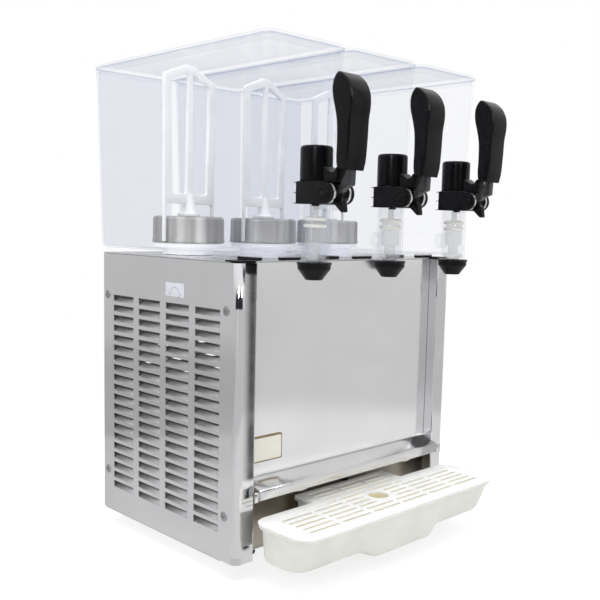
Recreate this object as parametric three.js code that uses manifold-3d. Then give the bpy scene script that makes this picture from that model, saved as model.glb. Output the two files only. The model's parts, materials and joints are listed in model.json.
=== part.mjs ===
// Three-bowl cold juice dispenser, in millimetres, +Z up, front towards -Y
import * as THREE from 'three';
import { mergeVertices } from 'three/addons/utils/BufferGeometryUtils.js';
import Module from 'manifold-3d';

const wasm = await Module();
wasm.setup();

// Clearances and mesh steps
const seat_gap = 0.3;
const running_gap = 0.5;
const overrun = 2;
const merge_distance = 0.001;
const corner_steps = 3;
const small_sides = 8;
const round_sides = 14;
const large_sides = 24;

// Cabinet
const body_width = 424;
const body_depth = 308;
const body_height = 380;
const sheet = 1.5;
const post_radius = 10;
const post_width = 30;
const panel_recess = 16;
const foot_height = 22;
const foot_radius = 14;
const foot_top_radius = 11;
const foot_inset = 76;

// Air slots in the side and back panels
const louvre_columns = 4;
const louvre_rows = 20;
const louvre_back_margin = 26.5;
const louvre_column_pitch = 65;
const louvre_length = 51.5;
const louvre_top_margin = 59;
const louvre_row_pitch = 14.5;
const louvre_opening = 9.5;
const rear_louvre_columns = 3;
const rear_louvre_rows = 8;
const rear_louvre_length = 80;
const rear_louvre_pitch = 100;
const rear_louvre_bottom = 60;

// Screws that hold the side panels
const screw_radius = 6.5;
const screw_height = 1.6;
const screw_side_margin = 23;
const screw_back_margin = 11;
const screw_end_margin = 59.5;
const screw_low_height = 59.5;

// Ledge over the drip tray and the panel below it
const ledge_height = 103;
const ledge_fall = 8;
const ledge_reach = 26;
const lip_height = 15;
const lip_half_width = 190;
const kick_setback = 16;

// Badge plate on the front panel, left bare
const badge_width = 54;
const badge_height = 34;
const badge_thickness = 2;
const badge_left_margin = 5.5;
const badge_bottom_margin = 19;

// Corner caps on the posts
const corner_cap_height = 3;
const corner_cap_depth = 30;

// Bowls
const bowl_count = 3;
const bowl_pitch = 140.5;
const bowl_base_width = 125;
const bowl_rim_width = 131;
const bowl_front_overhang = 29;
const bowl_back_overhang = 28;
const bowl_front_draft = 11;
const bowl_back_draft = 9;
const bowl_height = 257;
const bowl_lift = 6;
const bowl_wall = 2.5;
const bowl_corner_radius = 12;
const collar_width = 8;
const bowl_foot_width = 14;
const bowl_foot_depth = 12;
const bowl_foot_drop = 4;

// Lids
const lid_flange = 1.5;
const lid_height = 7;
const lid_bevel = 3;
const lid_wall = 2;

// Cooling drum and agitator
const drum_back = 45;
const drum_radius = 50;
const drum_height = 37;
const drum_lift = 8.5;
const drum_neck_radius = 34;
const drum_bevel = 2;
const drum_pin_radius = 4;
const drum_pin_height = 10;
const agitator_turn = 16.5;
const agitator_thickness = 5;
const agitator_half_width = 58;
const agitator_leg_radius = 53;
const agitator_leg_width = 4;
const agitator_bar = 14;
const agitator_foot_bar = 17;
const agitator_shoulder = 190;
const agitator_apex = 208;
const agitator_cross_low = 17;
const agitator_cross_height = 14;
const agitator_post_base = 16;
const agitator_post_top = 9;
const agitator_apex_half_width = 9;
const agitator_disc_radius = 16;
const agitator_disc_height = 4;
const agitator_hub_radius = 11;

// Taps, measured from the axis of the moulded tube
const tap_reach = 27;
const tube_radius = 17.3;
const tube_bore = 14.5;
const tube_drop = 4;
const tube_height = 69;
const duct_radius = 11;
const duct_bore = 7;
const duct_height = 22;
const nozzle_flange_radius = 21.5;
const nozzle_flange_height = 3;
const nozzle_shoulder = 8.5;
const nozzle_height = 21.5;
const nozzle_tip_radius = 10.8;
const nozzle_bore = 6;
const bracket_half_width = 19.5;
const bracket_front_reach = 19;
const bracket_back_reach = 15;
const bracket_height = 27;
const bracket_rounding = 5;
const stem_radius = 4;
const ear_thickness = 4.5;
const ear_radius = 12.5;
const pin_reach = 33;
const pin_radius = 3;
const pin_head_radius = 4;
const pin_head = 1.2;
const washer_radius = 12;
const washer_thickness = 3.2;
const boss_radius = 8;
const boss_height = 1.2;
const web_half_width = 9;
const web_height = 18;
const web_reach = 24;
const web_shares = [[-0.1, -0.15], [0.85, -0.1], [1, 0.3], [1, 0.92], [0.9, 0.85], [0.78, 0.6],
  [0.55, 0.55], [0.3, 0.75], [0.07, 1], [0.07, 0]];
const cap_radius = 19.8;
const cap_height = 42;
const cap_wall = 3;
const cap_bevel = 4;

// Lever, measured from its pin
const lever_height = 137;
const lever_depth = 37.5;
const grip_width = 34;
const grip_bottom = 26.5;
const hub_radius = 9;
const spur_drop = 22;
const spur_width = 9;
const grip_shares = [[0.4, 0.21], [0.81, 0.193], [0.867, 0.288], [0.907, 0.448], [0.93, 0.609], [1, 0.733],
  [0.968, 0.835], [0.805, 0.92], [0.603, 0.972], [0.4, 1], [0.25, 0.97], [0.15, 0.908], [0.141, 0.853],
  [0.173, 0.791], [0.28, 0.696], [0.373, 0.587], [0.387, 0.426], [0.373, 0.295]];
const neck_half_width = 4.5;
const neck_shares = [[0.1, 0.05], [0.16, 0.05], [0.5, 0.91], [0.5, 1.2], [0.74, 1.2], [0.74, 0.89],
  [0.71, 0.36], [0.45, 0.2], [0.32, 0.05], [0.1, -0.1]];
const spur_shares = [[0.75, -0.25], [-0.9, 0], [-1.6, -0.35], [-1.83, -0.95], [-1.5, -1]];

// Piston inside the moulded tube
const piston_radius = 13.5;
const piston_skirt = 8;
const piston_waist = 7;
const piston_body_low = 20;
const piston_body_high = 52;
const piston_head_radius = 9;
const piston_head = 5;
const piston_head_rise = 20;

// Drip tray and its grille
const tray_height = 58;
const tray_half_width = 201;
const tray_front = 268;
const tray_back = 168;
const tray_bay_half_width = 92;
const tray_bay_back = 130;
const tray_corner_radius = 27;
const tray_back_radius = 24;
const tray_wall = 2.5;
const tray_rim = 4;
const tray_rim_height = 3;
const tray_end_lift = 10;
const tray_end_draft = 8;
const tray_front_draft = 18;
const tray_back_draft = 2;
const tray_belly_half_width = 62;
const tray_belly_draft = 12;
const grille_inset = 1.5;
const grille_thickness = 3;
const grille_skirt = 5;
const grille_skirt_wall = 2;
const grille_columns = 6;
const grille_rows = 6;
const grille_bay_columns = 3;
const grille_bay_rows = 3;
const grille_slot_width = 4;
const grille_slot_gap = 6;
const grille_row_pitch = 12.5;
const grille_margin = 16;
const grille_end_margin = 26;
const grille_hole_setback = 37;
const grille_hole_radius = 14.5;
const grille_ring = 2.5;
const grille_ring_height = 1;
const runner_width = 16;
const runner_spacing = 120;
const runner_reach = 82;
const pan_thickness = 2;

// Tray hook on the lower panel
const hook_radius = 5;
const hook_length = 6.5;
const hook_lift = 1;
const hook_offset = 17;

// Cooling unit inside the cabinet
const compressor_radius = 58;
const compressor_height = 130;
const compressor_margin = 122;
const compressor_back_margin = 114;
const compressor_plinth = 9;
const condenser_thickness = 32;
const condenser_depth = 210;
const condenser_height = 210;
const condenser_clearance = 14;
const condenser_front_gap = 15.5;
const condenser_fins = 12;
const condenser_fin_cut = 8;
const fan_motor_radius = 30;
const fan_motor_length = 45;
const fan_height = 115;
const fan_shaft_radius = 4;
const fan_shaft_length = 26;
const fan_post_width = 24;
const fan_radius = 80;
const fan_hub_radius = 16;
const fan_hub_length = 14;
const fan_blades = 4;
const fan_blade_width = 44;
const fan_blade_thickness = 2;
const fan_blade_angle = 28;
const mixer_motor_radius = 26;
const mixer_motor_height = 42;

// Controls and the cable inlet on the back panel
const control_drop = 62;
const thermostat_margin = 82;
const thermostat_body = 30;
const thermostat_shaft_radius = 3;
const thermostat_shaft = 6;
const knob_radius = 17;
const knob_depth = 14;
const knob_pointer = 2;
const switch_margin = 122;
const switch_width = 20;
const switch_length = 28;
const switch_body = 22;
const switch_bezel = 2;
const rocker_thickness = 8;
const rocker_crest = 3;
const gland_margin = 62;
const gland_z = 34;
const gland_radius = 10;
const gland_length = 12;
const gland_bore = 4;

// Places worked out from the sizes above
const half_width = body_width / 2;
const half_depth = body_depth / 2;
const panel_plane = -half_depth + panel_recess;
const kick_plane = panel_plane + kick_setback;
const deck_top = body_height + seat_gap + sheet;
const bowl_bottom = deck_top + bowl_lift;
const bowl_floor = bowl_bottom + bowl_wall;
const bowl_top = bowl_bottom + bowl_height;
const bowl_front = -half_depth - bowl_front_overhang;
const bowl_back = half_depth + bowl_back_overhang;
const drum_base = bowl_floor + drum_lift;
const drum_top = drum_base + drum_height;
const tap_y = bowl_front - tap_reach;
const tube_bottom = bowl_bottom - tube_drop;
const tube_top = tube_bottom + tube_height;
const bracket_bottom = tube_top + seat_gap;
const bracket_top = bracket_bottom + bracket_height;
const pin_z = bracket_bottom + ear_radius;
const pin_y = tap_y - pin_reach;
const ear_inner = bracket_half_width - ear_thickness;
const lid_bottom = bowl_top + seat_gap;
const front_reach = -pin_y + lever_depth;
const back_reach = bowl_back + bowl_back_draft + lid_flange;
const depth_shift = (front_reach - back_reach) / 2;
const control_height = body_height - control_drop;
const thermostat_x = half_width - thermostat_margin;
const switch_x = switch_margin - half_width;
const gland_x = half_width - gland_margin;
const compressor_x = half_width - compressor_margin;
const compressor_y = half_depth - compressor_back_margin;
const bowl_places = Array.from({ length: bowl_count }, (_, i) => (i - (bowl_count - 1) / 2) * bowl_pitch);

// Materials
function finish(colour, roughness, metalness, opacity = 1) {
  return () => new THREE.MeshStandardMaterial({
    color: colour, roughness, metalness, opacity, transparent: opacity < 1,
  });
}
const polished_steel = finish('#c9ccd0', 0.18, 1);
const brushed_steel = finish('#b9bcc0', 0.35, 1);
const black_plastic = finish('#101113', 0.35, 0);
const clear_plastic = finish('#e8ecf2', 0.05, 0, 0.25);
const white_plastic = finish('#f1f0ea', 0.45, 0);
const cream_plastic = finish('#efece0', 0.5, 0);
const bright_steel = finish('#d8dadd', 0.25, 1);
const black_rubber = finish('#17181a', 0.8, 0);
const zinc_steel = finish('#a9adb2', 0.45, 1);
const dark_paint = finish('#202226', 0.5, 0.2);
const copper_fins = finish('#b8a58c', 0.4, 1);

// Solids from three.js geometry, with shared vertices merged and faces turned outwards
function solid(geometry) {
  const plain = geometry.clone();
  plain.deleteAttribute('normal');
  plain.deleteAttribute('uv');
  const merged = mergeVertices(plain, merge_distance);
  const points = merged.attributes.position.array;
  const corners = merged.index.array;
  const faces = [];
  let volume = 0;
  for (let i = 0; i < corners.length; i += 3) {
    const [a, b, c] = corners.slice(i, i + 3);
    if (a === b || b === c || c === a) continue;
    faces.push([a, b, c]);
    const [p, q, r] = [a, b, c].map((n) => new THREE.Vector3().fromArray(points, n * 3));
    volume += p.dot(q.cross(r));
  }
  const outward = volume < 0 ? faces.map(([a, b, c]) => [a, c, b]) : faces;
  return new wasm.Manifold(new wasm.Mesh({
    numProp: 3,
    vertProperties: new Float32Array(points),
    triVerts: new Uint32Array(outward.flat()),
  }));
}

function block(x0, x1, y0, y1, z0, z1) {
  const geometry = new THREE.BoxGeometry(x1 - x0, y1 - y0, z1 - z0);
  return solid(geometry.translate((x0 + x1) / 2, (y0 + y1) / 2, (z0 + z1) / 2));
}

const turns = {
  x: new THREE.Matrix4().makeRotationY(Math.PI / 2),
  y: new THREE.Matrix4().makeRotationX(-Math.PI / 2),
  z: new THREE.Matrix4(),
};

// A turned piece: pairs of radius and height from the axis and back to it
function turned(profile, sides, axis = 'z', x = 0, y = 0, z = 0) {
  const lathe = new THREE.LatheGeometry(profile.map(([r, h]) => new THREE.Vector2(r, h)), sides);
  lathe.rotateX(Math.PI / 2);
  return solid(lathe.applyMatrix4(turns[axis]).translate(x, y, z));
}

function rod(radius, from, to, sides, axis = 'z', x = 0, y = 0, z = 0) {
  return turned([[0, from], [radius, from], [radius, to], [0, to]], sides, axis, x, y, z);
}

// An outline drawn in two directions and pulled along the third
const planes = {
  z: new THREE.Matrix4(),
  x: new THREE.Matrix4().makeBasis(
    new THREE.Vector3(0, 1, 0), new THREE.Vector3(0, 0, 1), new THREE.Vector3(1, 0, 0)),
  y: new THREE.Matrix4().makeBasis(
    new THREE.Vector3(1, 0, 0), new THREE.Vector3(0, 0, 1), new THREE.Vector3(0, -1, 0)),
};

function drawn(outline, from, to, axis) {
  const shape = new THREE.Shape(outline.map(([a, b]) => new THREE.Vector2(a, b)));
  const geometry = new THREE.ExtrudeGeometry(shape, { depth: to - from, bevelEnabled: false });
  return solid(geometry.translate(0, 0, from).applyMatrix4(planes[axis]));
}

function arc(a, b, radius, start, end, steps) {
  return Array.from({ length: steps + 1 }, (_, i) => {
    const angle = start + (end - start) * i / steps;
    return [a + radius * Math.cos(angle), b + radius * Math.sin(angle)];
  });
}

function rounded_outline(x0, x1, y0, y1, radius, back_radius = radius) {
  const quarter = Math.PI / 2;
  const far = back_radius;
  return [
    ...arc(x1 - far, y1 - far, far, 0, quarter, corner_steps),
    ...arc(x0 + far, y1 - far, far, quarter, 2 * quarter, corner_steps),
    ...arc(x0 + radius, y0 + radius, radius, 2 * quarter, 3 * quarter, corner_steps),
    ...arc(x1 - radius, y0 + radius, radius, 3 * quarter, 4 * quarter, corner_steps),
  ];
}

// A drafted tub between a lower and an upper rounded outline
function tub(low, high, radius, z0, z1, back_radius = radius) {
  const rings = [[low, z0], [high, z1]].map(([edges, z]) => (
    rounded_outline(...edges, radius, back_radius).map(([x, y]) => [x, y, z])));
  const count = rings[0].length;
  const centres = [[low, z0], [high, z1]].map(([[x0, x1, y0, y1], z]) => (
    [(x0 + x1) / 2, (y0 + y1) / 2, z]));
  const corners = [...rings[0], ...rings[1], ...centres];
  const faces = [];
  for (let i = 0; i < count; i += 1) {
    const next = (i + 1) % count;
    faces.push(i, next, count + next, i, count + next, count + i);
    faces.push(2 * count, next, i, 2 * count + 1, count + i, count + next);
  }
  const geometry = new THREE.BufferGeometry();
  geometry.setAttribute('position', new THREE.Float32BufferAttribute(corners.flat(), 3));
  geometry.setIndex(faces);
  return solid(geometry);
}

const inset = ([x0, x1, y0, y1], by) => [x0 + by, x1 - by, y0 + by, y1 - by];

// A folded sheet that follows a path, with its thickness on the left of the path
function folded(path, thickness) {
  const unit = ([a, b], [c, d]) => {
    const length = Math.hypot(c - a, d - b);
    return [(c - a) / length, (d - b) / length];
  };
  const last = path.length - 1;
  const inner = path.map((point, i) => {
    const before = i > 0 ? unit(path[i - 1], point) : unit(point, path[1]);
    const after = i < last ? unit(point, path[i + 1]) : unit(path[last - 1], point);
    const share = thickness / (1 + before[0] * after[0] + before[1] * after[1]);
    return [point[0] - (before[1] + after[1]) * share, point[1] + (before[0] + after[0]) * share];
  });
  return [...path, ...inner.reverse()];
}

const group = new THREE.Group();
const machine = new THREE.Group();
machine.position.set(0, depth_shift, foot_height);
group.add(machine);

function place(name, body, material, parent = machine) {
  const { numProp, vertProperties, triVerts } = body.getMesh();
  const points = Array.from({ length: vertProperties.length / numProp * 3 }, (_, i) => (
    vertProperties[Math.floor(i / 3) * numProp + i % 3]));
  const geometry = new THREE.BufferGeometry();
  geometry.setAttribute('position', new THREE.Float32BufferAttribute(points, 3));
  geometry.setIndex([...triVerts]);
  const flat = geometry.toNonIndexed();
  flat.computeVertexNormals();
  const mesh = new THREE.Mesh(flat, material());
  mesh.name = name;
  parent.add(mesh);
  return mesh;
}

// Base pan with the two runners that carry the drip tray
function base_pan() {
  const low = -seat_gap - pan_thickness;
  let pan = block(-half_width + sheet, half_width - sheet, kick_plane, half_depth - sheet, low, -seat_gap);
  for (const side of [-1, 1]) {
    const centre = side * runner_spacing / 2;
    const reach = kick_plane - runner_reach;
    pan = pan.add(block(centre - runner_width / 2, centre + runner_width / 2,
      reach, kick_plane + overrun, low, -seat_gap));
  }
  place('base_pan', pan, zinc_steel);
}

// Rubber feet set well in from the sides
function feet() {
  const top = -seat_gap - pan_thickness - seat_gap;
  const profile = [[0, -foot_height], [foot_radius, -foot_height], [foot_top_radius, top], [0, top]];
  for (const [end, y] of [['front', kick_plane + foot_inset / 2], ['back', half_depth - foot_inset]]) {
    for (const [side, x] of [['left', -half_width + foot_inset], ['right', half_width - foot_inset]]) {
      place(`foot_${end}_${side}`, turned(profile, round_sides, 'z', x, y), black_rubber);
    }
  }
}

// Side panel folded round the front post, with its rows of slots and its screws
function side_panel(side, name) {
  const outer = side * half_width;
  const quarter = Math.PI / 2;
  const post = arc(post_radius - half_width, post_radius - half_depth, post_radius,
    2 * quarter, 3 * quarter, corner_steps);
  const path = [[-half_width, half_depth], ...post, [post_width - half_width, -half_depth],
    [post_width - half_width, panel_plane - seat_gap]];
  const outline = folded(path, sheet).map(([x, y]) => [-side * x, y]);
  let panel = drawn(outline, 0, body_height, 'z');
  for (let column = 0; column < louvre_columns; column += 1) {
    const back = half_depth - louvre_back_margin - column * louvre_column_pitch;
    for (let row = 0; row < louvre_rows; row += 1) {
      const top = body_height - louvre_top_margin - row * louvre_row_pitch;
      const low = top - louvre_opening;
      const cut = [outer + side * overrun, outer - side * (sheet + overrun)].sort((a, b) => a - b);
      panel = panel.subtract(block(...cut, back - louvre_length, back, low, top));
    }
  }
  for (const y of [-half_depth + screw_side_margin, half_depth - screw_back_margin]) {
    for (const z of [screw_low_height, body_height - screw_end_margin]) {
      const ends = [outer - side * sheet / 2, outer + side * screw_height].sort((a, b) => a - b);
      panel = panel.add(rod(screw_radius, ...ends, small_sides, 'x', 0, y, z));
    }
  }
  place(name, panel, polished_steel);
}

// Front panel, the ledge below it, the lower panel behind the tray and the bare badge plate
function front() {
  const reach = half_width - sheet - seat_gap;
  const ledge_top = ledge_height + seat_gap;
  place('front_panel', block(-reach, reach, panel_plane, panel_plane + sheet, ledge_top, body_height),
    polished_steel);
  const between = half_width - post_width - seat_gap;
  const lip_plane = panel_plane - ledge_reach;
  const lip_top = ledge_height - ledge_fall;
  const profile = folded([[kick_plane + sheet, ledge_height - sheet], [panel_plane, ledge_height - sheet],
    [lip_plane, lip_top - sheet], [lip_plane, lip_top - lip_height]].reverse(), sheet);
  const lip = lip_top - lip_height;
  let ledge = drawn(profile, -between, between, 'x');
  ledge = ledge.add(block(-lip_half_width, lip_half_width, lip_plane - sheet, lip_plane, lip, lip_top));
  place('drip_ledge', ledge, polished_steel);
  const kick_top = ledge_height - sheet - sheet - seat_gap;
  place('kick_panel', block(-reach, reach, kick_plane, kick_plane + sheet, 0, kick_top), polished_steel);
  const left = -half_width + post_width + badge_left_margin;
  const bottom = ledge_height + badge_bottom_margin;
  const plate = rounded_outline(left, left + badge_width, bottom, bottom + badge_height, badge_thickness);
  const face = -panel_plane + seat_gap;
  place('badge_plate', drawn(plate, face, face + badge_thickness, 'y'), cream_plastic);
}

// Back panel with its own air slots and holes for the controls
function back() {
  const reach = half_width - sheet - seat_gap;
  const low = half_depth - sheet;
  let panel = block(-reach, reach, low, half_depth, 0, body_height);
  for (let column = 0; column < rear_louvre_columns; column += 1) {
    const left = (column - rear_louvre_columns / 2) * rear_louvre_pitch
      + (rear_louvre_pitch - rear_louvre_length) / 2;
    for (let row = 0; row < rear_louvre_rows; row += 1) {
      const bottom = rear_louvre_bottom + row * (louvre_row_pitch + louvre_opening);
      panel = panel.subtract(block(left, left + rear_louvre_length, low - overrun, half_depth + overrun,
        bottom, bottom + louvre_opening));
    }
  }
  const through = [low - overrun, half_depth + overrun];
  panel = panel.subtract(rod(thermostat_shaft_radius + running_gap, ...through, round_sides, 'y',
    thermostat_x, 0, control_height));
  panel = panel.subtract(rod(gland_radius + seat_gap, ...through, round_sides, 'y', gland_x, 0, gland_z));
  const half = switch_width / 2 + seat_gap;
  const tall = switch_length / 2 + seat_gap;
  panel = panel.subtract(block(switch_x - half, switch_x + half, ...through,
    control_height - tall, control_height + tall));
  place('rear_panel', panel, brushed_steel);
}

// Deck that carries the bowls, with the black caps over the two posts
function deck() {
  const low = body_height + seat_gap;
  const front = panel_plane;
  place('top_deck', block(-half_width, half_width, front, half_depth, low, low + sheet), brushed_steel);
  for (const [name, side] of [['corner_cap_left', -1], ['corner_cap_right', 1]]) {
    const ends = [side * half_width, side * (half_width - post_width)].sort((a, b) => a - b);
    const far = Math.min(-half_depth + corner_cap_depth, front - seat_gap);
    const outline = rounded_outline(...ends, -half_depth, far, bracket_rounding);
    place(name, drawn(outline, low, low + corner_cap_height, 'z'), black_plastic);
  }
}

// Clear bowl with its seat, rear feet, tap tube and the duct that feeds it
function bowl(x, name) {
  const low = [x - bowl_base_width / 2, x + bowl_base_width / 2, bowl_front, bowl_back];
  const high = [x - bowl_rim_width / 2, x + bowl_rim_width / 2,
    bowl_front - bowl_front_draft, bowl_back + bowl_back_draft];
  let body = tub(low, high, bowl_corner_radius, bowl_bottom, bowl_top);
  const collar_radius = drum_neck_radius + running_gap;
  const collar = (radius, from, to) => rod(radius, from, to, large_sides, 'z', x, drum_back);
  body = body.add(collar(collar_radius + collar_width, deck_top + seat_gap, bowl_floor));
  for (const side of [-1, 1]) {
    const centre = x + side * (bowl_base_width / 2 - bowl_corner_radius);
    const far = bowl_back - bowl_corner_radius;
    body = body.add(block(centre - bowl_foot_width / 2, centre + bowl_foot_width / 2,
      far - bowl_foot_depth, far, bowl_bottom - bowl_foot_drop, bowl_floor));
  }
  body = body.add(rod(tube_radius, tube_bottom, tube_top, round_sides, 'z', x, tap_y));
  body = body.add(rod(duct_radius, tap_y, bowl_front + bowl_wall / 2, round_sides, 'y', x, 0,
    bowl_bottom + duct_height));
  const wall = bowl_wall;
  const inner_low = inset(low, wall);
  const inner_high = inset(high, wall);
  const inner_radius = bowl_corner_radius - wall;
  body = body.subtract(tub(inner_low, inner_high, inner_radius, bowl_floor, bowl_top + seat_gap));
  body = body.subtract(collar(collar_radius, deck_top - overrun, bowl_floor + overrun));
  const tube_end = tube_top + overrun;
  body = body.subtract(rod(tube_bore, tube_bottom - overrun, tube_end, round_sides, 'z', x, tap_y));
  const duct_end = bowl_front + bowl_wall + overrun;
  body = body.subtract(rod(duct_bore, tap_y, duct_end, round_sides, 'y', x, 0, bowl_bottom + duct_height));
  place(name, body, clear_plastic);
}

// Loose lid, hollow from below, standing on the bowl's rim
function lid(x, name) {
  const half = bowl_rim_width / 2 + lid_flange;
  const base = [x - half, x + half, bowl_front - bowl_front_draft - lid_flange,
    bowl_back + bowl_back_draft + lid_flange];
  const radius = bowl_corner_radius + lid_flange;
  const whole = tub(base, inset(base, lid_bevel), radius, lid_bottom, lid_bottom + lid_height);
  const hollow = tub(inset(base, bowl_wall + lid_flange), inset(base, lid_bevel + bowl_wall + lid_flange),
    radius - bowl_wall, lid_bottom - overrun, lid_bottom + lid_height - lid_wall);
  place(name, whole.subtract(hollow), clear_plastic);
}

// Cooling drum on the deck, up through the bowl's seat, with the pin that the agitator turns on
function cooling_drum(x, name) {
  const profile = [[0, deck_top + seat_gap], [drum_neck_radius, deck_top + seat_gap],
    [drum_neck_radius, drum_base], [drum_radius + drum_bevel / 2, drum_base],
    [drum_radius, drum_base + drum_bevel], [drum_radius, drum_top - drum_bevel],
    [drum_radius - drum_bevel, drum_top], [drum_pin_radius, drum_top],
    [drum_pin_radius, drum_top + drum_pin_height], [0, drum_top + drum_pin_height]];
  place(name, turned(profile, large_sides, 'z', x, drum_back), brushed_steel);
}

// Agitator frame over the drum, with a hub on its pin
function agitator(x, name) {
  const cross = drum_top + agitator_cross_low;
  const cross_top = cross + agitator_cross_height;
  const shoulder = drum_top + agitator_shoulder;
  const apex = drum_top + agitator_apex;
  const mirror = (points) => points.map(([a, b]) => [-a, b]).reverse();
  const leg_outer = agitator_leg_radius + agitator_leg_width;
  const right_side = [[agitator_leg_radius, cross], [agitator_leg_radius, drum_base + overrun],
    [leg_outer, drum_base + overrun], [leg_outer, cross_top], [agitator_half_width, shoulder],
    [agitator_apex_half_width, apex]];
  const outline = [...right_side, ...mirror(right_side)];
  const inner_shoulder = shoulder - agitator_bar / 2;
  const slope = (apex - shoulder) / (agitator_half_width - agitator_apex_half_width);
  const window_top = (a) => inner_shoulder + (agitator_half_width - agitator_bar - a) * slope;
  const near = agitator_apex_half_width;
  const hole = [[agitator_post_base / 2, cross_top], [leg_outer - agitator_foot_bar, cross_top],
    [agitator_half_width - agitator_bar, inner_shoulder], [near, window_top(near)],
    [agitator_post_top / 2, window_top(near)]];
  const half = agitator_thickness / 2;
  let frame = drawn(outline, -half, half, 'y');
  for (const window of [hole, mirror(hole)]) {
    frame = frame.subtract(drawn(window, -half - overrun, half + overrun, 'y'));
  }
  const hub_bottom = drum_top + seat_gap;
  const disc_top = hub_bottom + agitator_disc_height;
  frame = frame.add(turned([[0, hub_bottom], [agitator_disc_radius, hub_bottom],
    [agitator_disc_radius, disc_top], [agitator_hub_radius, disc_top], [agitator_post_base / 2, cross_top],
    [0, cross_top]], round_sides));
  frame = frame.subtract(rod(drum_pin_radius + running_gap, drum_top - overrun,
    drum_top + drum_pin_height + running_gap, round_sides));
  const mesh = place(name, frame, white_plastic);
  mesh.position.set(x, drum_back, 0);
  mesh.rotation.z = THREE.MathUtils.degToRad(agitator_turn);
}

// Tap parts: nozzle, bracket with its ears, cap, pin, lever and piston
function nozzle(x, name) {
  const top = tube_bottom - seat_gap;
  const flange = top - nozzle_flange_height;
  const shoulder = top - nozzle_shoulder;
  const tip = top - nozzle_height;
  const neck = nozzle_flange_radius - overrun;
  const profile = [[nozzle_bore, tip], [nozzle_tip_radius, tip], [neck, shoulder], [neck, flange],
    [nozzle_flange_radius, flange], [nozzle_flange_radius, top], [tube_bore, top],
    [nozzle_bore, shoulder], [nozzle_bore, tip]];
  place(name, turned(profile, round_sides, 'z', x, tap_y), black_plastic);
}

// Tap bracket: a block under the cap, two ears round the lever's hub and a web in front of the cap
function bracket(x, name) {
  const face = tap_y - bracket_front_reach;
  const wide = bracket_half_width;
  let body = block(-wide, wide, face, tap_y + bracket_back_reach, bracket_bottom, bracket_top);
  for (const side of [-1, 1]) {
    const ends = [side * ear_inner, side * wide].sort((a, b) => a - b);
    body = body.add(block(...ends, pin_y, face + overrun, bracket_bottom, pin_z + ear_radius));
    body = body.add(rod(ear_radius, ...ends, round_sides, 'x', 0, pin_y, pin_z));
    const boss = [side * (wide - ear_thickness / 2), side * (wide + boss_height)].sort((a, b) => a - b);
    body = body.add(rod(boss_radius, ...boss, round_sides, 'x', 0, face, pin_z));
  }
  const through = wide + overrun;
  body = body.subtract(rod(pin_radius + seat_gap, -through, through, small_sides, 'x', 0, pin_y, pin_z));
  const web = web_shares.map(([a, b]) => [face - a * web_reach, bracket_top + b * web_height]);
  body = body.add(drawn(web, -web_half_width, web_half_width, 'x'));
  body = body.subtract(rod(stem_radius + running_gap, bracket_bottom - overrun, bracket_top + overrun,
    round_sides, 'z', 0, tap_y));
  place(name, body, black_plastic).position.x = x;
}

function cap(x, name) {
  const low = bracket_top + seat_gap;
  const top = low + cap_height;
  const inner = cap_radius - cap_wall;
  const profile = [[inner, low], [cap_radius, low], [cap_radius, top - cap_bevel],
    [cap_radius - cap_bevel / 4, top - cap_bevel / 4], [cap_radius - cap_bevel, top],
    [0, top], [0, top - cap_wall], [inner, top - cap_wall], [inner, low]];
  place(name, turned(profile, round_sides, 'z', x, tap_y), black_plastic);
}

function lever_pin(x, name) {
  const end = bracket_half_width + seat_gap + pin_head;
  const collar = ear_inner - seat_gap;
  const half = [[washer_radius, collar - washer_thickness], [washer_radius, collar], [pin_radius, collar],
    [pin_radius, end - pin_head], [pin_head_radius, end - pin_head], [pin_head_radius, end], [0, end]];
  const near = half.map(([r, h]) => [r, -h]).reverse();
  const face = collar - washer_thickness;
  const profile = [...near, [pin_radius, -face], [pin_radius, face], ...half];
  place(name, turned(profile, round_sides, 'x', x, pin_y, pin_z), bright_steel);
}

function lever(x, name) {
  const scaled = (shares, across, up) => shares.map(([a, b]) => [-a * across, b * up]);
  const grip_half = grip_width / 2;
  const hub_half = ear_inner - seat_gap - washer_thickness - seat_gap;
  let body = drawn(scaled(grip_shares, lever_depth, lever_height), -grip_half, grip_half, 'x');
  const neck = scaled(neck_shares, lever_depth, grip_bottom);
  body = body.add(drawn(neck, -neck_half_width, neck_half_width, 'x'));
  body = body.add(rod(hub_radius, -hub_half, hub_half, round_sides, 'x'));
  const spur = spur_shares.map(([a, b]) => [a * hub_radius, b * spur_drop]);
  body = body.add(drawn(spur, -spur_width / 2, spur_width / 2, 'x'));
  body = body.subtract(rod(pin_radius + seat_gap, -grip_width, grip_width, round_sides, 'x'));
  place(name, body, black_plastic).position.set(x, pin_y, pin_z);
}

function piston(x, name) {
  const low = tube_bottom + seat_gap;
  const top = bracket_top + piston_head_rise;
  const profile = [[0, low], [piston_waist, low], [piston_radius, low + piston_skirt / 2],
    [piston_radius, low + piston_skirt], [piston_waist, low + piston_skirt],
    [piston_waist, low + piston_body_low], [piston_radius, low + piston_body_low],
    [piston_radius, low + piston_body_high], [stem_radius, low + piston_body_high],
    [stem_radius, top - piston_head], [piston_head_radius, top - piston_head],
    [piston_head_radius, top], [0, top]];
  place(name, turned(profile, round_sides, 'z', x, tap_y), white_plastic);
}

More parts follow.
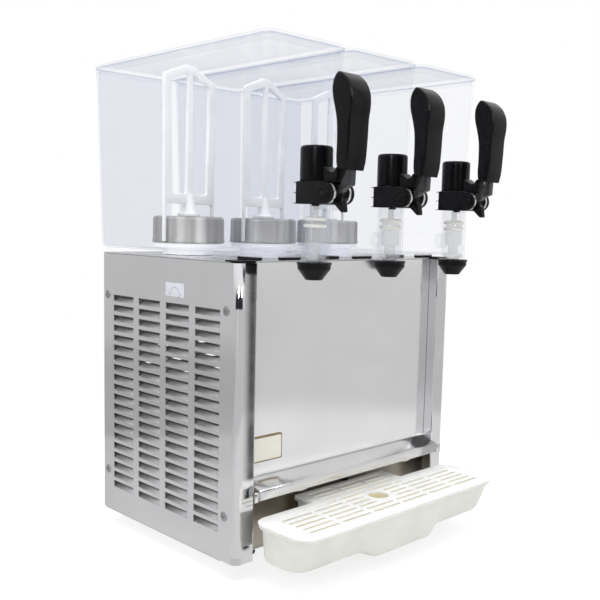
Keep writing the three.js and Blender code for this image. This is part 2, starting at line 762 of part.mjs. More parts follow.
// Drip tray with a bay under the ledge and a belly in front
function tray_shape(by, from, to) {
  const bay_front = -tray_back - tray_back_radius - tray_back_radius;
  const level = (z) => {
    const share = (tray_height - z) / tray_height;
    const half = tray_half_width - tray_rim - tray_end_draft * share;
    const back = -tray_back - tray_back_draft * share;
    const front = -tray_front + tray_rim;
    const bay = tray_bay_half_width - tray_rim;
    return {
      main: [-half, half, front + tray_front_draft * share, back],
      belly: [-tray_belly_half_width, tray_belly_half_width,
        front + tray_belly_draft * share, back - tray_rim],
      bay: [-bay, bay, bay_front, -tray_bay_back - tray_rim - tray_back_draft * share],
    };
  };
  const high = level(Math.min(to, tray_height));
  const back_radius = tray_back_radius - by;
  const piece = (form, radius, rear, start) => (
    tub(inset(level(start)[form], by), inset(high[form], by), radius, start, to, rear));
  const lifted = from + tray_end_lift;
  const small = tray_wall + tray_wall - by;
  return piece('main', tray_corner_radius - by, back_radius, lifted)
    .add(piece('belly', back_radius, back_radius, from))
    .add(piece('bay', small, small, lifted));
}

function plan_outline(by, from, to) {
  const main = rounded_outline(-tray_half_width + by, tray_half_width - by, -tray_front + by,
    -tray_back - by, tray_corner_radius - by / 2, tray_back_radius - by / 2);
  const bay = rounded_outline(-tray_bay_half_width + by, tray_bay_half_width - by,
    -tray_back - tray_back_radius - tray_back_radius, -tray_bay_back - by, tray_wall);
  return drawn(main, from, to, 'z').add(drawn(bay, from, to, 'z'));
}

function drip_tray() {
  let body = tray_shape(0, 0, tray_height);
  body = body.add(plan_outline(0, tray_height - tray_rim_height, tray_height));
  body = body.subtract(tray_shape(tray_wall, tray_wall, tray_height + overrun));
  place('drip_tray', body, cream_plastic);
}

function drip_grille() {
  const low = tray_height + seat_gap;
  const top = low + grille_thickness;
  const wall = tray_rim + tray_wall + tray_wall + tray_front_draft * grille_skirt / tray_height;
  let plate = plan_outline(grille_inset, low, top);
  const skirt = plan_outline(wall, low - grille_skirt, low + seat_gap)
    .subtract(plan_outline(wall + grille_skirt_wall, low - grille_skirt - overrun, low + overrun));
  plate = plate.add(skirt);
  const pitch = (tray_half_width - grille_end_margin) * 2 / grille_columns;
  const bay_pitch = (tray_bay_half_width - grille_margin) * 2 / grille_bay_columns;
  const clear = grille_hole_radius + grille_ring + grille_slot_width;
  const hole_y = -tray_back - grille_hole_setback;
  plate = plate.add(rod(grille_hole_radius + grille_ring, low, top + grille_ring_height, round_sides,
    'z', 0, hole_y));
  const slot = (column, columns, across, y) => {
    const left = (column - columns / 2) * across + grille_slot_gap / 2;
    const right = left + across - grille_slot_gap;
    const near = Math.abs(y - hole_y) < clear;
    const inner = near && left < clear && right > -clear;
    const from = inner && left > -clear ? clear : left;
    const to = inner && right < clear ? -clear : right;
    if (to - from < grille_slot_gap) return;
    plate = plate.subtract(block(from, to, y - grille_slot_width / 2, y + grille_slot_width / 2,
      low - overrun, top + overrun));
  };
  for (let row = 0; row < grille_rows; row += 1) {
    const y = -tray_front + grille_margin + (row + 1 / 2) * grille_row_pitch;
    for (let column = 0; column < grille_columns; column += 1) slot(column, grille_columns, pitch, y);
  }
  for (let row = 0; row < grille_bay_rows; row += 1) {
    const y = -tray_back + grille_row_pitch * row;
    for (let column = 0; column < grille_bay_columns; column += 1) {
      slot(column, grille_bay_columns, bay_pitch, y);
    }
  }
  plate = plate.subtract(rod(grille_hole_radius, low - overrun, top + overrun, round_sides, 'z', 0, hole_y));
  place('drip_grille', plate, white_plastic);
}

function tray_hook() {
  const z = tray_height + grille_thickness + hook_lift;
  place('tray_hook', rod(hook_radius, kick_plane - seat_gap - hook_length, kick_plane - seat_gap, round_sides,
    'y', hook_offset, 0, z), black_plastic);
}

// Cooling unit: compressor, condenser and fan
function cooling_unit() {
  const shell = compressor_height - compressor_radius / 3;
  const profile = [[0, 0], [compressor_radius - compressor_plinth, 0],
    [compressor_radius - compressor_plinth, compressor_plinth],
    [compressor_radius, compressor_plinth + overrun],
    [compressor_radius, shell], [compressor_radius * 3 / 4, compressor_height - compressor_plinth],
    [compressor_radius / 3, compressor_height], [0, compressor_height]];
  place('compressor', turned(profile, round_sides, 'z', compressor_x, compressor_y), dark_paint);
  const left = -half_width + sheet + condenser_clearance;
  const core_front = kick_plane + sheet + condenser_front_gap;
  let core = block(left, left + condenser_thickness, core_front, core_front + condenser_depth,
    0, condenser_height);
  const pitch = condenser_depth / condenser_fins;
  for (let fin = 0; fin < condenser_fins; fin += 1) {
    const y = core_front + (fin + 1 / 2) * pitch;
    core = core.subtract(block(left - overrun, left + condenser_fin_cut, y - pitch / 4, y + pitch / 4,
      compressor_plinth, condenser_height - compressor_plinth));
  }
  place('condenser', core, copper_fins);
  const fan_x = left + condenser_thickness + fan_hub_length + fan_hub_length;
  const motor_x = fan_x + fan_hub_length + fan_hub_length;
  let motor = rod(fan_motor_radius, motor_x, motor_x + fan_motor_length, round_sides, 'x', 0, 0, fan_height);
  motor = motor.add(rod(fan_shaft_radius, motor_x - fan_shaft_length, motor_x + overrun, small_sides, 'x',
    0, 0, fan_height));
  motor = motor.add(block(motor_x + fan_motor_length / 4, motor_x + fan_motor_length * 3 / 4,
    -fan_post_width / 2, fan_post_width / 2, 0, fan_height));
  place('fan_motor', motor, dark_paint);
  let fan = rod(fan_hub_radius, 0, fan_hub_length, round_sides, 'x');
  for (let blade = 0; blade < fan_blades; blade += 1) {
    const flat = new THREE.BoxGeometry(fan_blade_thickness, fan_blade_width, fan_radius - fan_hub_radius / 2);
    flat.translate(0, 0, (fan_radius + fan_hub_radius / 2) / 2);
    flat.rotateZ(THREE.MathUtils.degToRad(fan_blade_angle));
    flat.rotateX(blade * 2 * Math.PI / fan_blades);
    fan = fan.add(solid(flat.translate(fan_hub_length / 2, 0, 0)));
  }
  const bore = rod(fan_shaft_radius + running_gap, -overrun, fan_hub_length + overrun, small_sides, 'x');
  place('fan_blades', fan.subtract(bore), black_plastic).position.set(fan_x, 0, fan_height);
}

function mixer_motor(x, name) {
  const top = body_height;
  const motor = rod(mixer_motor_radius, top - mixer_motor_height, top, round_sides, 'z', x, drum_back);
  place(name, motor, dark_paint);
}

// Thermostat, switches and cable inlet on the back
function controls() {
  const inside = half_depth - sheet - seat_gap;
  const outside = half_depth + seat_gap;
  const half = thermostat_body / 2;
  let body = block(thermostat_x - half, thermostat_x + half, inside - thermostat_body, inside,
    control_height - half, control_height + half);
  body = body.add(rod(thermostat_shaft_radius, inside - overrun, outside + thermostat_shaft, small_sides, 'y',
    thermostat_x, 0, control_height));
  place('thermostat', body, dark_paint);
  let knob = rod(knob_radius, outside, outside + knob_depth, round_sides, 'y');
  knob = knob.add(block(-knob_pointer, knob_pointer, outside + overrun, outside + knob_depth + knob_pointer,
    0, knob_radius));
  knob = knob.subtract(rod(thermostat_shaft_radius + seat_gap, outside - overrun,
    outside + thermostat_shaft + seat_gap, small_sides, 'y'));
  place('thermostat_knob', knob, black_plastic).position.set(thermostat_x, 0, control_height);
  const x = switch_x;
  const wide = switch_width / 2;
  const tall = switch_length / 2;
  let housing = block(x - wide, x + wide, half_depth - switch_body, outside, control_height - tall,
    control_height + tall);
  housing = housing.add(block(x - wide - switch_bezel, x + wide + switch_bezel, outside,
    outside + switch_bezel, control_height - tall - switch_bezel, control_height + tall + switch_bezel));
  housing = housing.subtract(block(x - wide + switch_bezel, x + wide - switch_bezel,
    outside - rocker_thickness, outside + switch_bezel + overrun, control_height - tall + switch_bezel,
    control_height + tall - switch_bezel));
  place('switch_body', housing, black_plastic);
  const key = tall - switch_bezel - overrun;
  const crest = outside + switch_bezel;
  const outline = [[-rocker_thickness / 2, 0], [-rocker_thickness / 4, -key], [0, -key],
    [rocker_crest / 3, 0], [rocker_crest, key], [-rocker_thickness / 4, key]];
  const rocker = drawn(outline, -wide + switch_bezel + seat_gap, wide - switch_bezel - seat_gap, 'x');
  place('power_switch', rocker, black_plastic).position.set(x, crest, control_height);
  const profile = [[gland_bore, half_depth - gland_length], [gland_radius, half_depth - gland_length],
    [gland_radius, half_depth + gland_length / 2], [gland_bore, half_depth + gland_length],
    [gland_bore, half_depth - gland_length]];
  place('cable_inlet', turned(profile, round_sides, 'y', gland_x, 0, gland_z), black_plastic);
}

base_pan();
feet();
side_panel(-1, 'side_panel_left');
side_panel(1, 'side_panel_right');
front();
back();
deck();
bowl_places.forEach((x, i) => {
  const number = i + 1;
  cooling_drum(x, `cooling_drum_${number}`);
  agitator(x, `agitator_${number}`);
  bowl(x, `bowl_${number}`);
  lid(x, `lid_${number}`);
  nozzle(x, `nozzle_${number}`);
  bracket(x, `tap_bracket_${number}`);
  cap(x, `tap_cap_${number}`);
  lever_pin(x, `lever_pin_${number}`);
  lever(x, `lever_${number}`);
  piston(x, `piston_${number}`);
  mixer_motor(x, `mixer_motor_${number}`);
});
drip_tray();
drip_grille();
tray_hook();
cooling_unit();
controls();

export default group;
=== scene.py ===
import json
import math

import bmesh
import bpy
from mathutils import Matrix, Vector


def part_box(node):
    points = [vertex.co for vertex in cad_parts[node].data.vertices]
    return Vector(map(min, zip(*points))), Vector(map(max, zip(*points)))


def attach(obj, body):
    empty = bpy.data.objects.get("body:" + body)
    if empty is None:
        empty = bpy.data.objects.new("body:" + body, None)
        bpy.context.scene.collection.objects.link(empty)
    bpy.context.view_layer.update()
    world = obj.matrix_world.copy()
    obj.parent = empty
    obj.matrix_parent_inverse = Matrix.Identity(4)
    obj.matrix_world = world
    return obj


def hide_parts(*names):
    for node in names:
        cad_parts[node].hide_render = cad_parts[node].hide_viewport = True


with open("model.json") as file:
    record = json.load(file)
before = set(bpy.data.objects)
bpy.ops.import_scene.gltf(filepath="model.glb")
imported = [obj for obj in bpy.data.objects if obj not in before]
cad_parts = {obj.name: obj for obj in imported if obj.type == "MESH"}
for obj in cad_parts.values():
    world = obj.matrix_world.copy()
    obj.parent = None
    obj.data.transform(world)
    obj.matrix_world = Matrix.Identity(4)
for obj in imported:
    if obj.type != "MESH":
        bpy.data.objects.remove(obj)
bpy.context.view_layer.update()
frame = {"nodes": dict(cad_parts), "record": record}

# The machine's own origin: the middle of the cabinet's floor plan, at the underside of its panels.
# Sizes of the machine are in millimetres from there, and those of the studio in metres.
half_depth = 154
machine = Vector((0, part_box("top_deck")[1].y - half_depth / 1000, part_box("side_panel_left")[0].z))


def middle_of(node):
    """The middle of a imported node's box, in millimetres from the machine's origin."""
    low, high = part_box(node)
    return [round(value, 2) for value in ((low + high) / 2 - machine) * 1000]


# Camera, standing to the left of the machine's front and a little above the middle of the cabinet,
# with the small shift and tilt of the photograph's frame.
camera_place = Vector((-0.862, -0.894, 0.453))
yaw, pitch, roll = math.radians(44.691), math.radians(6.444), math.radians(1.402)
forward = Vector((math.sin(yaw) * math.cos(pitch), math.cos(yaw) * math.cos(pitch), -math.sin(pitch)))
level = Vector((math.cos(yaw), -math.sin(yaw), 0))
upward = level.cross(forward)
across = math.cos(roll) * level + math.sin(roll) * upward
upright = math.cos(roll) * upward - math.sin(roll) * level

camera = bpy.data.objects.new("camera", bpy.data.cameras.new("camera"))
camera.data.sensor_width = 36
camera.data.lens = 50.63
camera.data.shift_x = -0.0201
camera.data.shift_y = 0.0301
camera.matrix_world = (Matrix.Translation(camera_place)
                       @ Matrix((across, upright, -forward)).transposed().to_4x4())
bpy.context.collection.objects.link(camera)
bpy.context.scene.camera = camera
bpy.context.scene.view_settings.view_transform = "Standard"
bpy.context.scene.cycles.transparent_max_bounces = 40


# Studio: a white floor, a pale room that the metal reflects with a dark corner behind the camera,
# large soft lamps overhead, to the left and to the right, and two strips that only glossy surfaces show.
def sum_of(operation, swapped=False):
    """A method that does one sum on a socket and a second value."""
    def done(self, other=0.0):
        return self.tree.node("Math", {"operation": operation}, {int(swapped): self, int(not swapped): other})
    return done


class Wire:
    """A socket in a node tree, so that sums on it can be written as they are said."""

    def __init__(self, tree, socket):
        self.tree = tree
        self.socket = socket

    __add__ = __radd__ = sum_of("ADD")
    __sub__ = sum_of("SUBTRACT")
    __rsub__ = sum_of("SUBTRACT", swapped=True)
    __mul__ = __rmul__ = sum_of("MULTIPLY")
    __pow__ = sum_of("POWER")
    __gt__ = sum_of("GREATER_THAN")
    __lt__ = sum_of("LESS_THAN")
    size = sum_of("ABSOLUTE")
    most = sum_of("MAXIMUM")

    def eased(self, low, high, start=0.0, end=1.0):
        return self.tree.node("MapRange", {"interpolation_type": "SMOOTHSTEP"},
                              {0: self, 1: low, 2: high, 3: start, 4: end})

    def stretched(self, x, y, z):
        return self.tree.node("VectorMath", {"operation": "MULTIPLY"}, {0: self, 1: (x, y, z)})

    def along(self, x, y, z):
        return self.tree.node("VectorMath", {"operation": "DOT_PRODUCT"}, {0: self, 1: (x, y, z)}, 1)

    def part(self, index):
        return self.tree.node("SeparateXYZ", {}, {0: self}, index)


def opaque(colour):
    return (*colour, 1) if isinstance(colour, tuple) else colour


class Finish:
    """The node tree of a material or of the world, filled by one node-making method."""

    def __init__(self, owner):
        owner.use_nodes = True
        self.owner = owner
        self.tree = owner.node_tree
        self.tree.nodes.clear()

    def node(self, kind, settings=None, sockets=None, out=0):
        made = self.tree.nodes.new("ShaderNode" + kind)
        for name, value in (settings or {}).items():
            setattr(made, name, value)
        for name, value in (sockets or {}).items():
            if isinstance(value, Wire):
                self.tree.links.new(value.socket, made.inputs[name])
            else:
                made.inputs[name].default_value = value
        return Wire(self, made.outputs[out])

    def noise(self, place, scale, detail=3.0, roughness=0.5):
        return self.node("TexNoise", {}, {"Vector": place, "Scale": scale, "Detail": detail,
                                          "Roughness": roughness})

    def blend(self, factor, first, second):
        return self.node("Mix", {"data_type": "RGBA"}, {0: factor, 6: opaque(first), 7: opaque(second)}, 2)

    def bump(self, height, distance, strength=1.0, under=None):
        sockets = {"Height": height, "Distance": distance, "Strength": strength}
        if under:
            sockets["Normal"] = under
        return self.node("Bump", {}, sockets)

    def light(self, colour, strength=1.0, kind="Emission"):
        return self.node(kind, {}, {"Color": opaque(colour), "Strength": strength})

    def matt(self, colour):
        return self.node("BsdfDiffuse", {}, {"Color": opaque(colour)})

    def mixed(self, factor, first, second):
        return self.node("MixShader", {}, {0: factor, 1: first, 2: second})

    def surface(self, **sockets):
        return self.node("BsdfPrincipled", {}, {
            name.replace("_", " ").title().replace("Ior", "IOR"): opaque(value)
            for name, value in sockets.items()})

    def shown(self, shader, output="OutputMaterial"):
        end = self.tree.nodes.new("ShaderNode" + output)
        self.tree.links.new(shader.socket, end.inputs["Surface"])
        return self.owner


def new_finish(name):
    """An empty material and, for its patterns, the place of the point that is shaded."""
    finish = Finish(bpy.data.materials.new(name))
    return finish, finish.node("TexCoord", out="Object")


world = bpy.data.worlds.new("room")
bpy.context.scene.world = world
room = Finish(world)
toward = room.node("TexCoord", out="Generated")
height = toward.part(2)
dark_corner = toward.along(-0.70, -0.71, 0.05).eased(0.50, 0.72) * height.eased(0.30, 0.62, 1, 0)
wall_tone = 0.80 - 0.12 * toward.along(-0.75, 0.66, 0).eased(0.2, 0.9)
wall_tone = wall_tone + 0.12 * (room.noise(toward, 3.5, 2) - 0.5) + 0.25 * height.eased(0.25, 0.7)
daylight = room.light((0.97, 0.985, 1), 0.62, "Background")
reflected = room.light(room.blend(dark_corner, wall_tone, (0.03, 0.032, 0.04)), 1.0, "Background")
white = room.light((1, 1, 1), 1.0, "Background")
seen = room.mixed(room.node("LightPath", out="Is Glossy Ray"), daylight, reflected)
room.shown(room.mixed(room.node("LightPath", out="Is Camera Ray"), seen, white), "OutputWorld")


def staged(name, points, faces, finish):
    """A flat piece of the studio, which isn't part of the machine."""
    mesh = bpy.data.meshes.new(name)
    mesh.from_pydata(points, [], faces)
    mesh.materials.append(finish)
    flat = bpy.data.objects.new(name, mesh)
    bpy.context.collection.objects.link(flat)
    return flat


floor_half = 9
floor_white, place = new_finish("floor_white")
far_off = floor_white.node("VectorMath", {"operation": "LENGTH"}, {0: place}, 1)
glow = floor_white.light((1, 1, 1), 0.77)
lit = floor_white.node("AddShader", {}, {0: floor_white.matt((0.32, 0.32, 0.32)), 1: glow})
seen_floor = floor_white.mixed(far_off.eased(0.42, 1.0), lit, floor_white.light((1, 1, 1)))
# Glossy rays see the floor as a glow in painted tones: darker near the machine on the left, with a step
# further out, lighter near it on the right, and soft blotches. It is a painted reflection for the metal to
# mirror.
left_side = place.along(-0.7, 0.7, 0).eased(0.0, 0.8)
past_seam = place.along(-0.62, 0.783, 0).eased(0.76, 0.80)
left_tone = far_off.eased(0.28, 0.5, 0.42, 0.66) - 0.14 * past_seam + 0.14 * far_off.eased(1.6, 2.6)
right_tone = far_off.eased(0.88, 1.0, 0.86, 0.66)
drift = floor_white.noise(place, 3.4, 4, 0.6) - 0.5
painted_floor_reflection = right_tone + (left_tone - right_tone) * left_side + 0.22 * drift
plain = floor_white.mixed(floor_white.node("LightPath", out="Is Camera Ray"),
                          floor_white.matt((0.9, 0.9, 0.9)), seen_floor)
mirrored = floor_white.mixed(floor_white.node("LightPath", out="Is Glossy Ray"), plain,
                             floor_white.light(painted_floor_reflection))
floor_corners = [(x * floor_half, y * floor_half, 0) for x, y in ((-1, -1), (1, -1), (1, 1), (-1, 1))]
staged("floor", floor_corners, [(0, 1, 2, 3)], floor_white.shown(mirrored))

# A dark card to the right of the machine, that only the polished post mirrors, as in the photograph.
card_near, card_far = Vector((-0.137, -0.186, 0.001)), Vector((0.034, -0.384, 0.001))
near_width, far_width = Vector((0.0125, 0, 0)), Vector((0.0195, 0, 0))
card_rise = Vector((0, 0, 0.899))
card_black, place = new_finish("card_black")
felt = card_black.blend(card_black.noise(place, 30, 2), (0.012, 0.010, 0.010), (0.03, 0.022, 0.016))
card = staged("dark_card", [card_near, card_near + near_width, card_far + far_width, card_far,
                            card_far + far_width + card_rise, card_far + card_rise],
              [(0, 1, 2, 3), (3, 2, 4, 5)], card_black.shown(card_black.light(felt)))
for ray in ("camera", "diffuse", "transmission", "shadow", "volume_scatter"):
    setattr(card, f"visible_{ray}", False)


def lamp(name, place, target, width, power, mirrored):
    light = bpy.data.lights.new(name, "AREA")
    light.size = width
    light.energy = power
    stand = bpy.data.objects.new(name, light)
    stand.location = place
    stand.rotation_euler = (Vector(target) - Vector(place)).to_track_quat("-Z", "Y").to_euler()
    stand.visible_glossy = mirrored
    bpy.context.collection.objects.link(stand)
    return stand


lamp("lamp_overhead", (-0.2, -0.1, 2.3), (0, 0, 0.3), 2.2, 46, False)
lamp("lamp_left", (-2.2, -1.0, 1.3), (0, 0, 0.35), 1.6, 14, False)
lamp("lamp_right", (1.2, -2.3, 1.2), (0, 0, 0.35), 1.6, 14, False)
strip_width, strip_length, strip_power = 0.07, 0.8, 20
for name, place in (("strip_left", (-1.9, -1.25, 1.5)), ("strip_right", (-0.35, -2.3, 1.5))):
    strip = lamp(name, place, (0, -0.2, 0.5), strip_width, strip_power, True)
    strip.data.shape = "RECTANGLE"
    strip.data.size_y = strip_length
    strip.visible_diffuse = False


# Side panels, each one polished stainless sheet folded round the front post, with four columns of
# louvres pressed inwards, held by pan-head screws. The left one carries a plain dial label.
side_half = 212
side_height = 380
sheet_thickness = 1.5
first_slot, slot_pitch, slot_length = 127.5, 65, 51.5
slot_backs = [first_slot - slot_pitch * column for column in range(4)]
top_slot, row_pitch, slot_opening = 321, 14.5, 9.5
slot_tops = [top_slot - row_pitch * row for row in range(20)]
vane_depth, vane_rise, vane_swell, vane_overlap = 6.5, 6.3, 0.25, 3.5
vane_curve = 1.12
vane_gap = 0.2
vane_thickness = 0.8
corner_radius = 10
post_front = 182
post_return, post_bend = 15.6, 1.5


node_bodies = {node: body for body, nodes in frame["record"]["behaviour"]["bodies"].items() for node in nodes}


class Shape:
    """Points and faces of one piece, in millimetres from the machine's origin."""

    def __init__(self):
        self.points = []
        self.faces = []

    def add(self, points, faces):
        start = len(self.points)
        self.points.extend(points)
        self.faces.extend(tuple(start + i for i in face) for face in faces)
        return self

    def loft(self, rings, closed=True, low=True, high=True, looped=False):
        """Faces between rings of points, with caps at the low and the high end."""
        count = len(rings[0])
        span = count if closed else count - 1
        faces = []
        for row in range(len(rings) if looped else len(rings) - 1):
            first, second = row * count, (row + 1) % len(rings) * count
            faces.extend((first + i, first + (i + 1) % count, second + (i + 1) % count, second + i)
                         for i in range(span))
        if low and not looped:
            faces.append(tuple(reversed(range(count))))
        if high and not looped:
            faces.append(tuple(range((len(rings) - 1) * count, len(rings) * count)))
        return self.add([point for ring in rings for point in ring], faces)

    def turned(self, profile, axis, x, y, z, sides=64):
        """A profile of radii and places along the axis, turned round it. A profile that ends where it
        starts makes a ring."""
        rings = [fluted(axis, radius, along, x, y, z, sides) for radius, along in profile]
        ring = profile[0] == profile[-1]
        return self.loft(rings[:-1] if ring else rings, looped=ring)

    def plate(self, outlines, low, high, edge, axis, x=0, y=0, z=0):
        """A flat piece cut from outlines, the first one outside and the rest holes, with eased edges."""
        curve = bpy.data.curves.new("outline", "CURVE")
        curve.dimensions = "2D"
        curve.fill_mode = "BOTH"
        curve.extrude = (high - low) / 2 - edge
        curve.bevel_depth = edge
        curve.bevel_resolution = 2
        curve.offset = -edge
        for outline in outlines:
            spline = curve.splines.new("POLY")
            spline.points.add(len(outline) - 1)
            for point, (a, b) in zip(spline.points, outline):
                point.co = (a, b, 0, 1)
            spline.use_cyclic_u = True
        flat = bpy.data.objects.new("outline", curve)
        mesh = bpy.data.meshes.new_from_object(flat)
        middle = (low + high) / 2
        turn = {"z": lambda a, b, h: (x + a, y + b, z + h), "x": lambda a, b, h: (x + h, y + a, z + b),
                "y": lambda a, b, h: (x + a, y + h, z + b)}[axis]
        self.add([turn(v.co.x, v.co.y, v.co.z + middle) for v in mesh.vertices],
                 [tuple(face.vertices) for face in mesh.polygons])
        bpy.data.objects.remove(flat)
        bpy.data.curves.remove(curve)
        bpy.data.meshes.remove(mesh)
        return self

    def brick(self, x0, x1, y0, y1, z0, z1):
        return self.loft([[(x0, y0, z), (x1, y0, z), (x1, y1, z), (x0, y1, z)] for z in (z0, z1)])

    def made(self, name, finish, node=None, slot=None, body="cabinet", sharp=35, thickness=0, joined=True):
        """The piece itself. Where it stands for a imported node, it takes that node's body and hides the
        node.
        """
        shell = bmesh.new()
        corners = [shell.verts.new(machine + Vector(point) / 1000) for point in self.points]
        for face in self.faces:
            shell.faces.new([corners[i] for i in face])
        bmesh.ops.remove_doubles(shell, verts=shell.verts, dist=1e-6)
        if joined:
            bmesh.ops.recalc_face_normals(shell, faces=shell.faces)
        mesh = bpy.data.meshes.new(name)
        shell.to_mesh(mesh)
        shell.free()
        mesh.shade_smooth()
        mesh.set_sharp_from_angle(angle=math.radians(sharp))
        mesh.materials.append(finish)
        piece = bpy.data.objects.new(name, mesh)
        bpy.context.collection.objects.link(piece)
        if thickness:
            solid = piece.modifiers.new("thickness", "SOLIDIFY")
            solid.thickness = thickness / 1000
            solid.offset = -1
        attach(piece, node_bodies[node] if node else body)
        if node:
            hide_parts(node)
        return piece


def turns(count):
    return [2 * math.pi * i / count for i in range(count)]


def fluted(axis, radius, along, x, y, z, sides, cut=0, flutes=0):
    """A ring round an axis, drawn in by the cut at each flute."""
    ring = []
    for angle in turns(sides):
        reach = radius - cut * (0.5 + 0.5 * math.cos(flutes * angle))
        a, b = reach * math.cos(angle), reach * math.sin(angle)
        ring.append({"z": (x + a, y + b, z + along), "x": (x + along, y + a, z + b),
                     "y": (x + b, y + along, z + a)}[axis])
    return ring


def arc(a, b, radius, start, end, steps):
    """Points on a round stretch, from one angle to another in degrees."""
    angles = [math.radians(start + (end - start) * k / steps) for k in range(steps + 1)]
    return [(a + radius * math.cos(angle), b + radius * math.sin(angle)) for angle in angles]


def dressed(node, finish, edge=0):
    """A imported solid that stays, with its own finish and softened edges."""
    piece = frame["nodes"][node]
    piece.material_slots[0].material = finish
    if edge:
        weld = piece.modifiers.new("weld", "WELD")
        weld.merge_threshold = 1e-5
        bevel = piece.modifiers.new("edges", "BEVEL")
        bevel.width = edge / 1000
        bevel.segments = 2
        bevel.limit_method = "ANGLE"
        bevel.angle_limit = math.radians(38)
        bevel.harden_normals = True


def sheet_steel(name, tone, gloss, grain, waves, smudge=0.10):
    """Stainless sheet: faint grain along the rolling, soft waves, smudges and hairline wear."""
    steel, place = new_finish(name)
    lines = steel.noise(place.stretched(*grain), 1.0, 4, 0.65)
    clouds = steel.noise(place, 7, 4, 0.6)
    wiped = steel.noise(place.stretched(9, 9, 26), 1.0, 3, 0.6)
    colour = steel.blend(clouds.eased(0.3, 0.7), tuple(0.95 * c for c in tone), tone)
    colour = steel.blend(0.10 * lines, colour, (0.55, 0.55, 0.56))
    rough = gloss + smudge * wiped.eased(0.45, 0.8) + 0.05 * lines
    shape = steel.bump(steel.noise(place.stretched(1, 1, 0.6), 5, 1), waves)
    shape = steel.bump(lines, 0.00002, 0.6, shape)
    return steel.shown(steel.surface(base_color=colour, metallic=1.0, roughness=rough, normal=shape))


side_steel = sheet_steel("polished_side_sheet", (0.74, 0.74, 0.755), 0.05, (8, 8, 900), 0.0022, 0.03)
# The vanes take a darker copy of the sheet steel: painted shade for vanes set back behind their slots.
vane_steel_painted_shade = sheet_steel("pressed_vane_sheet_painted_shade", (0.50, 0.50, 0.51), 0.55, (8, 8, 900), 0.0020)
bright, place = new_finish("bright_plated_steel")
speck = bright.noise(place, 900, 2)
worn = bright.noise(place, 120, 3)
bright_steel = bright.shown(bright.surface(
    base_color=bright.blend(worn.eased(0.4, 0.75), (0.86, 0.86, 0.87), (0.68, 0.68, 0.69)), metallic=1.0,
    roughness=0.16 + 0.18 * worn, normal=bright.bump(speck, 0.00003, 0.5)))
dull, place = new_finish("dull_screw_steel")
scratches = dull.noise(place, 260, 4, 0.7)
screw_steel = dull.shown(dull.surface(
    base_color=dull.blend(scratches, (0.30, 0.30, 0.31), (0.52, 0.52, 0.53)), metallic=1.0,
    roughness=0.22 + 0.2 * scratches, normal=dull.bump(scratches, 0.0001, 0.6)))


def side_outline():
    """The side sheet seen from above: along the side, round the corner, over the flat post and in."""
    ends = [y for back in slot_backs for y in (back, back - slot_length)]
    points = [(-side_half, y) for y in (half_depth, *ends)]
    points += arc(-side_half + corner_radius, -half_depth + corner_radius, corner_radius, 180, 270, 10)
    return points + [(-post_front - post_bend, -half_depth), (-post_front - 0.4, -half_depth + 0.4),
                     (-post_front, -half_depth + post_bend), (-post_front, -half_depth + post_return)]


def louvre(shape, start, end, low, point):
    """One pressed vane behind its slot, sloping up and in. The point function takes the place along
    the slot, the depth behind the sheet and the height."""
    rows = []
    for share in (0, 0.12, 0.5, 0.9, 1):
        depth = vane_gap + vane_depth * share + vane_swell * (share == 0.5)
        rows.append([point(end_place, depth, low + vane_rise * share ** vane_curve)
                     for end_place in (start, end)])
    shape.loft(rows, closed=False, low=False, high=False)


outline = side_outline()
count = len(outline)
levels = sorted({0, side_height, *slot_tops, *(top - slot_opening for top in slot_tops)})
for side, name in ((-1, "left"), (1, "right")):
    faces = []
    for row in range(len(levels) - 1):
        for i in range(count - 1):
            slot_level, slot_place = row % 2 == 1, i % 2 == 1 and i < 2 * len(slot_backs)
            if not (slot_level and slot_place):
                a = row * count + i
                face = (a, a + 1, a + count + 1, a + count)
                faces.append(face if side < 0 else tuple(reversed(face)))
    panel = Shape().add([(-side * x, y, z) for z in levels for x, y in outline], faces)
    sheet = panel.made(f"side_sheet_{name}", side_steel, f"side_panel_{name}",
                       thickness=sheet_thickness, joined=False)
    for face in sheet.data.polygons:
        face.use_smooth = abs(face.normal.x) < 0.999 and abs(face.normal.y) < 0.999
    vanes = Shape()
    for back in slot_backs:
        for top in slot_tops:
            louvre(vanes, back + vane_overlap, back - slot_length, top - slot_opening,
                   lambda y, depth, z: (side * (side_half - depth), y, z))
    vanes.made(f"side_vanes_{name}", vane_steel_painted_shade, slot="polished_steel", thickness=vane_thickness, sharp=50)

head_profile = [(0, 1.55), (2.2, 1.5), (4.2, 1.3), (5.6, 0.9), (6.3, 0.5), (6.4, 0), (0, 0)]
cross_arm, cross_half = 3.2, 0.5
recess_floor, recess_reach = 0.6, 4


def screw(name, axis, sense, x, y, z):
    """A pan-head screw with its cross recess."""
    head = Shape().turned([(r, sense * h) for r, h in head_profile], axis, x, y, z, 32)
    piece = head.made(name, screw_steel, slot="bright_steel", sharp=50)
    cutter = Shape()
    low, high = sorted((sense * recess_floor, sense * recess_reach))
    for a, b in ((cross_arm, cross_half), (cross_half, cross_arm)):
        if axis == "x":
            cutter.brick(x + low, x + high, y - a, y + a, z - b, z + b)
        else:
            cutter.brick(x - a, x + a, y + low, y + high, z - b, z + b)
    mesh = bpy.data.meshes.new("cross")
    mesh.from_pydata([machine + Vector(p) / 1000 for p in cutter.points], [], cutter.faces)
    tool = bpy.data.objects.new("cross", mesh)
    bpy.context.collection.objects.link(tool)
    carve = piece.modifiers.new("recess", "BOOLEAN")
    carve.operation = "DIFFERENCE"
    carve.object = tool
    carve.use_self = True
    bpy.context.view_layer.update()
    carved = bpy.data.meshes.new_from_object(piece.evaluated_get(bpy.context.evaluated_depsgraph_get()))
    piece.modifiers.clear()
    piece.data = carved
    bpy.data.objects.remove(tool)


side_screws = [(y, z) for y in (-131, 143) for z in (59.5, 320.5)]
for side, name in ((-1, "left"), (1, "right")):
    for number, (y, z) in enumerate(side_screws, 1):
        screw(f"side_screw_{name}_{number}", "x", side, side * side_half, y, z)

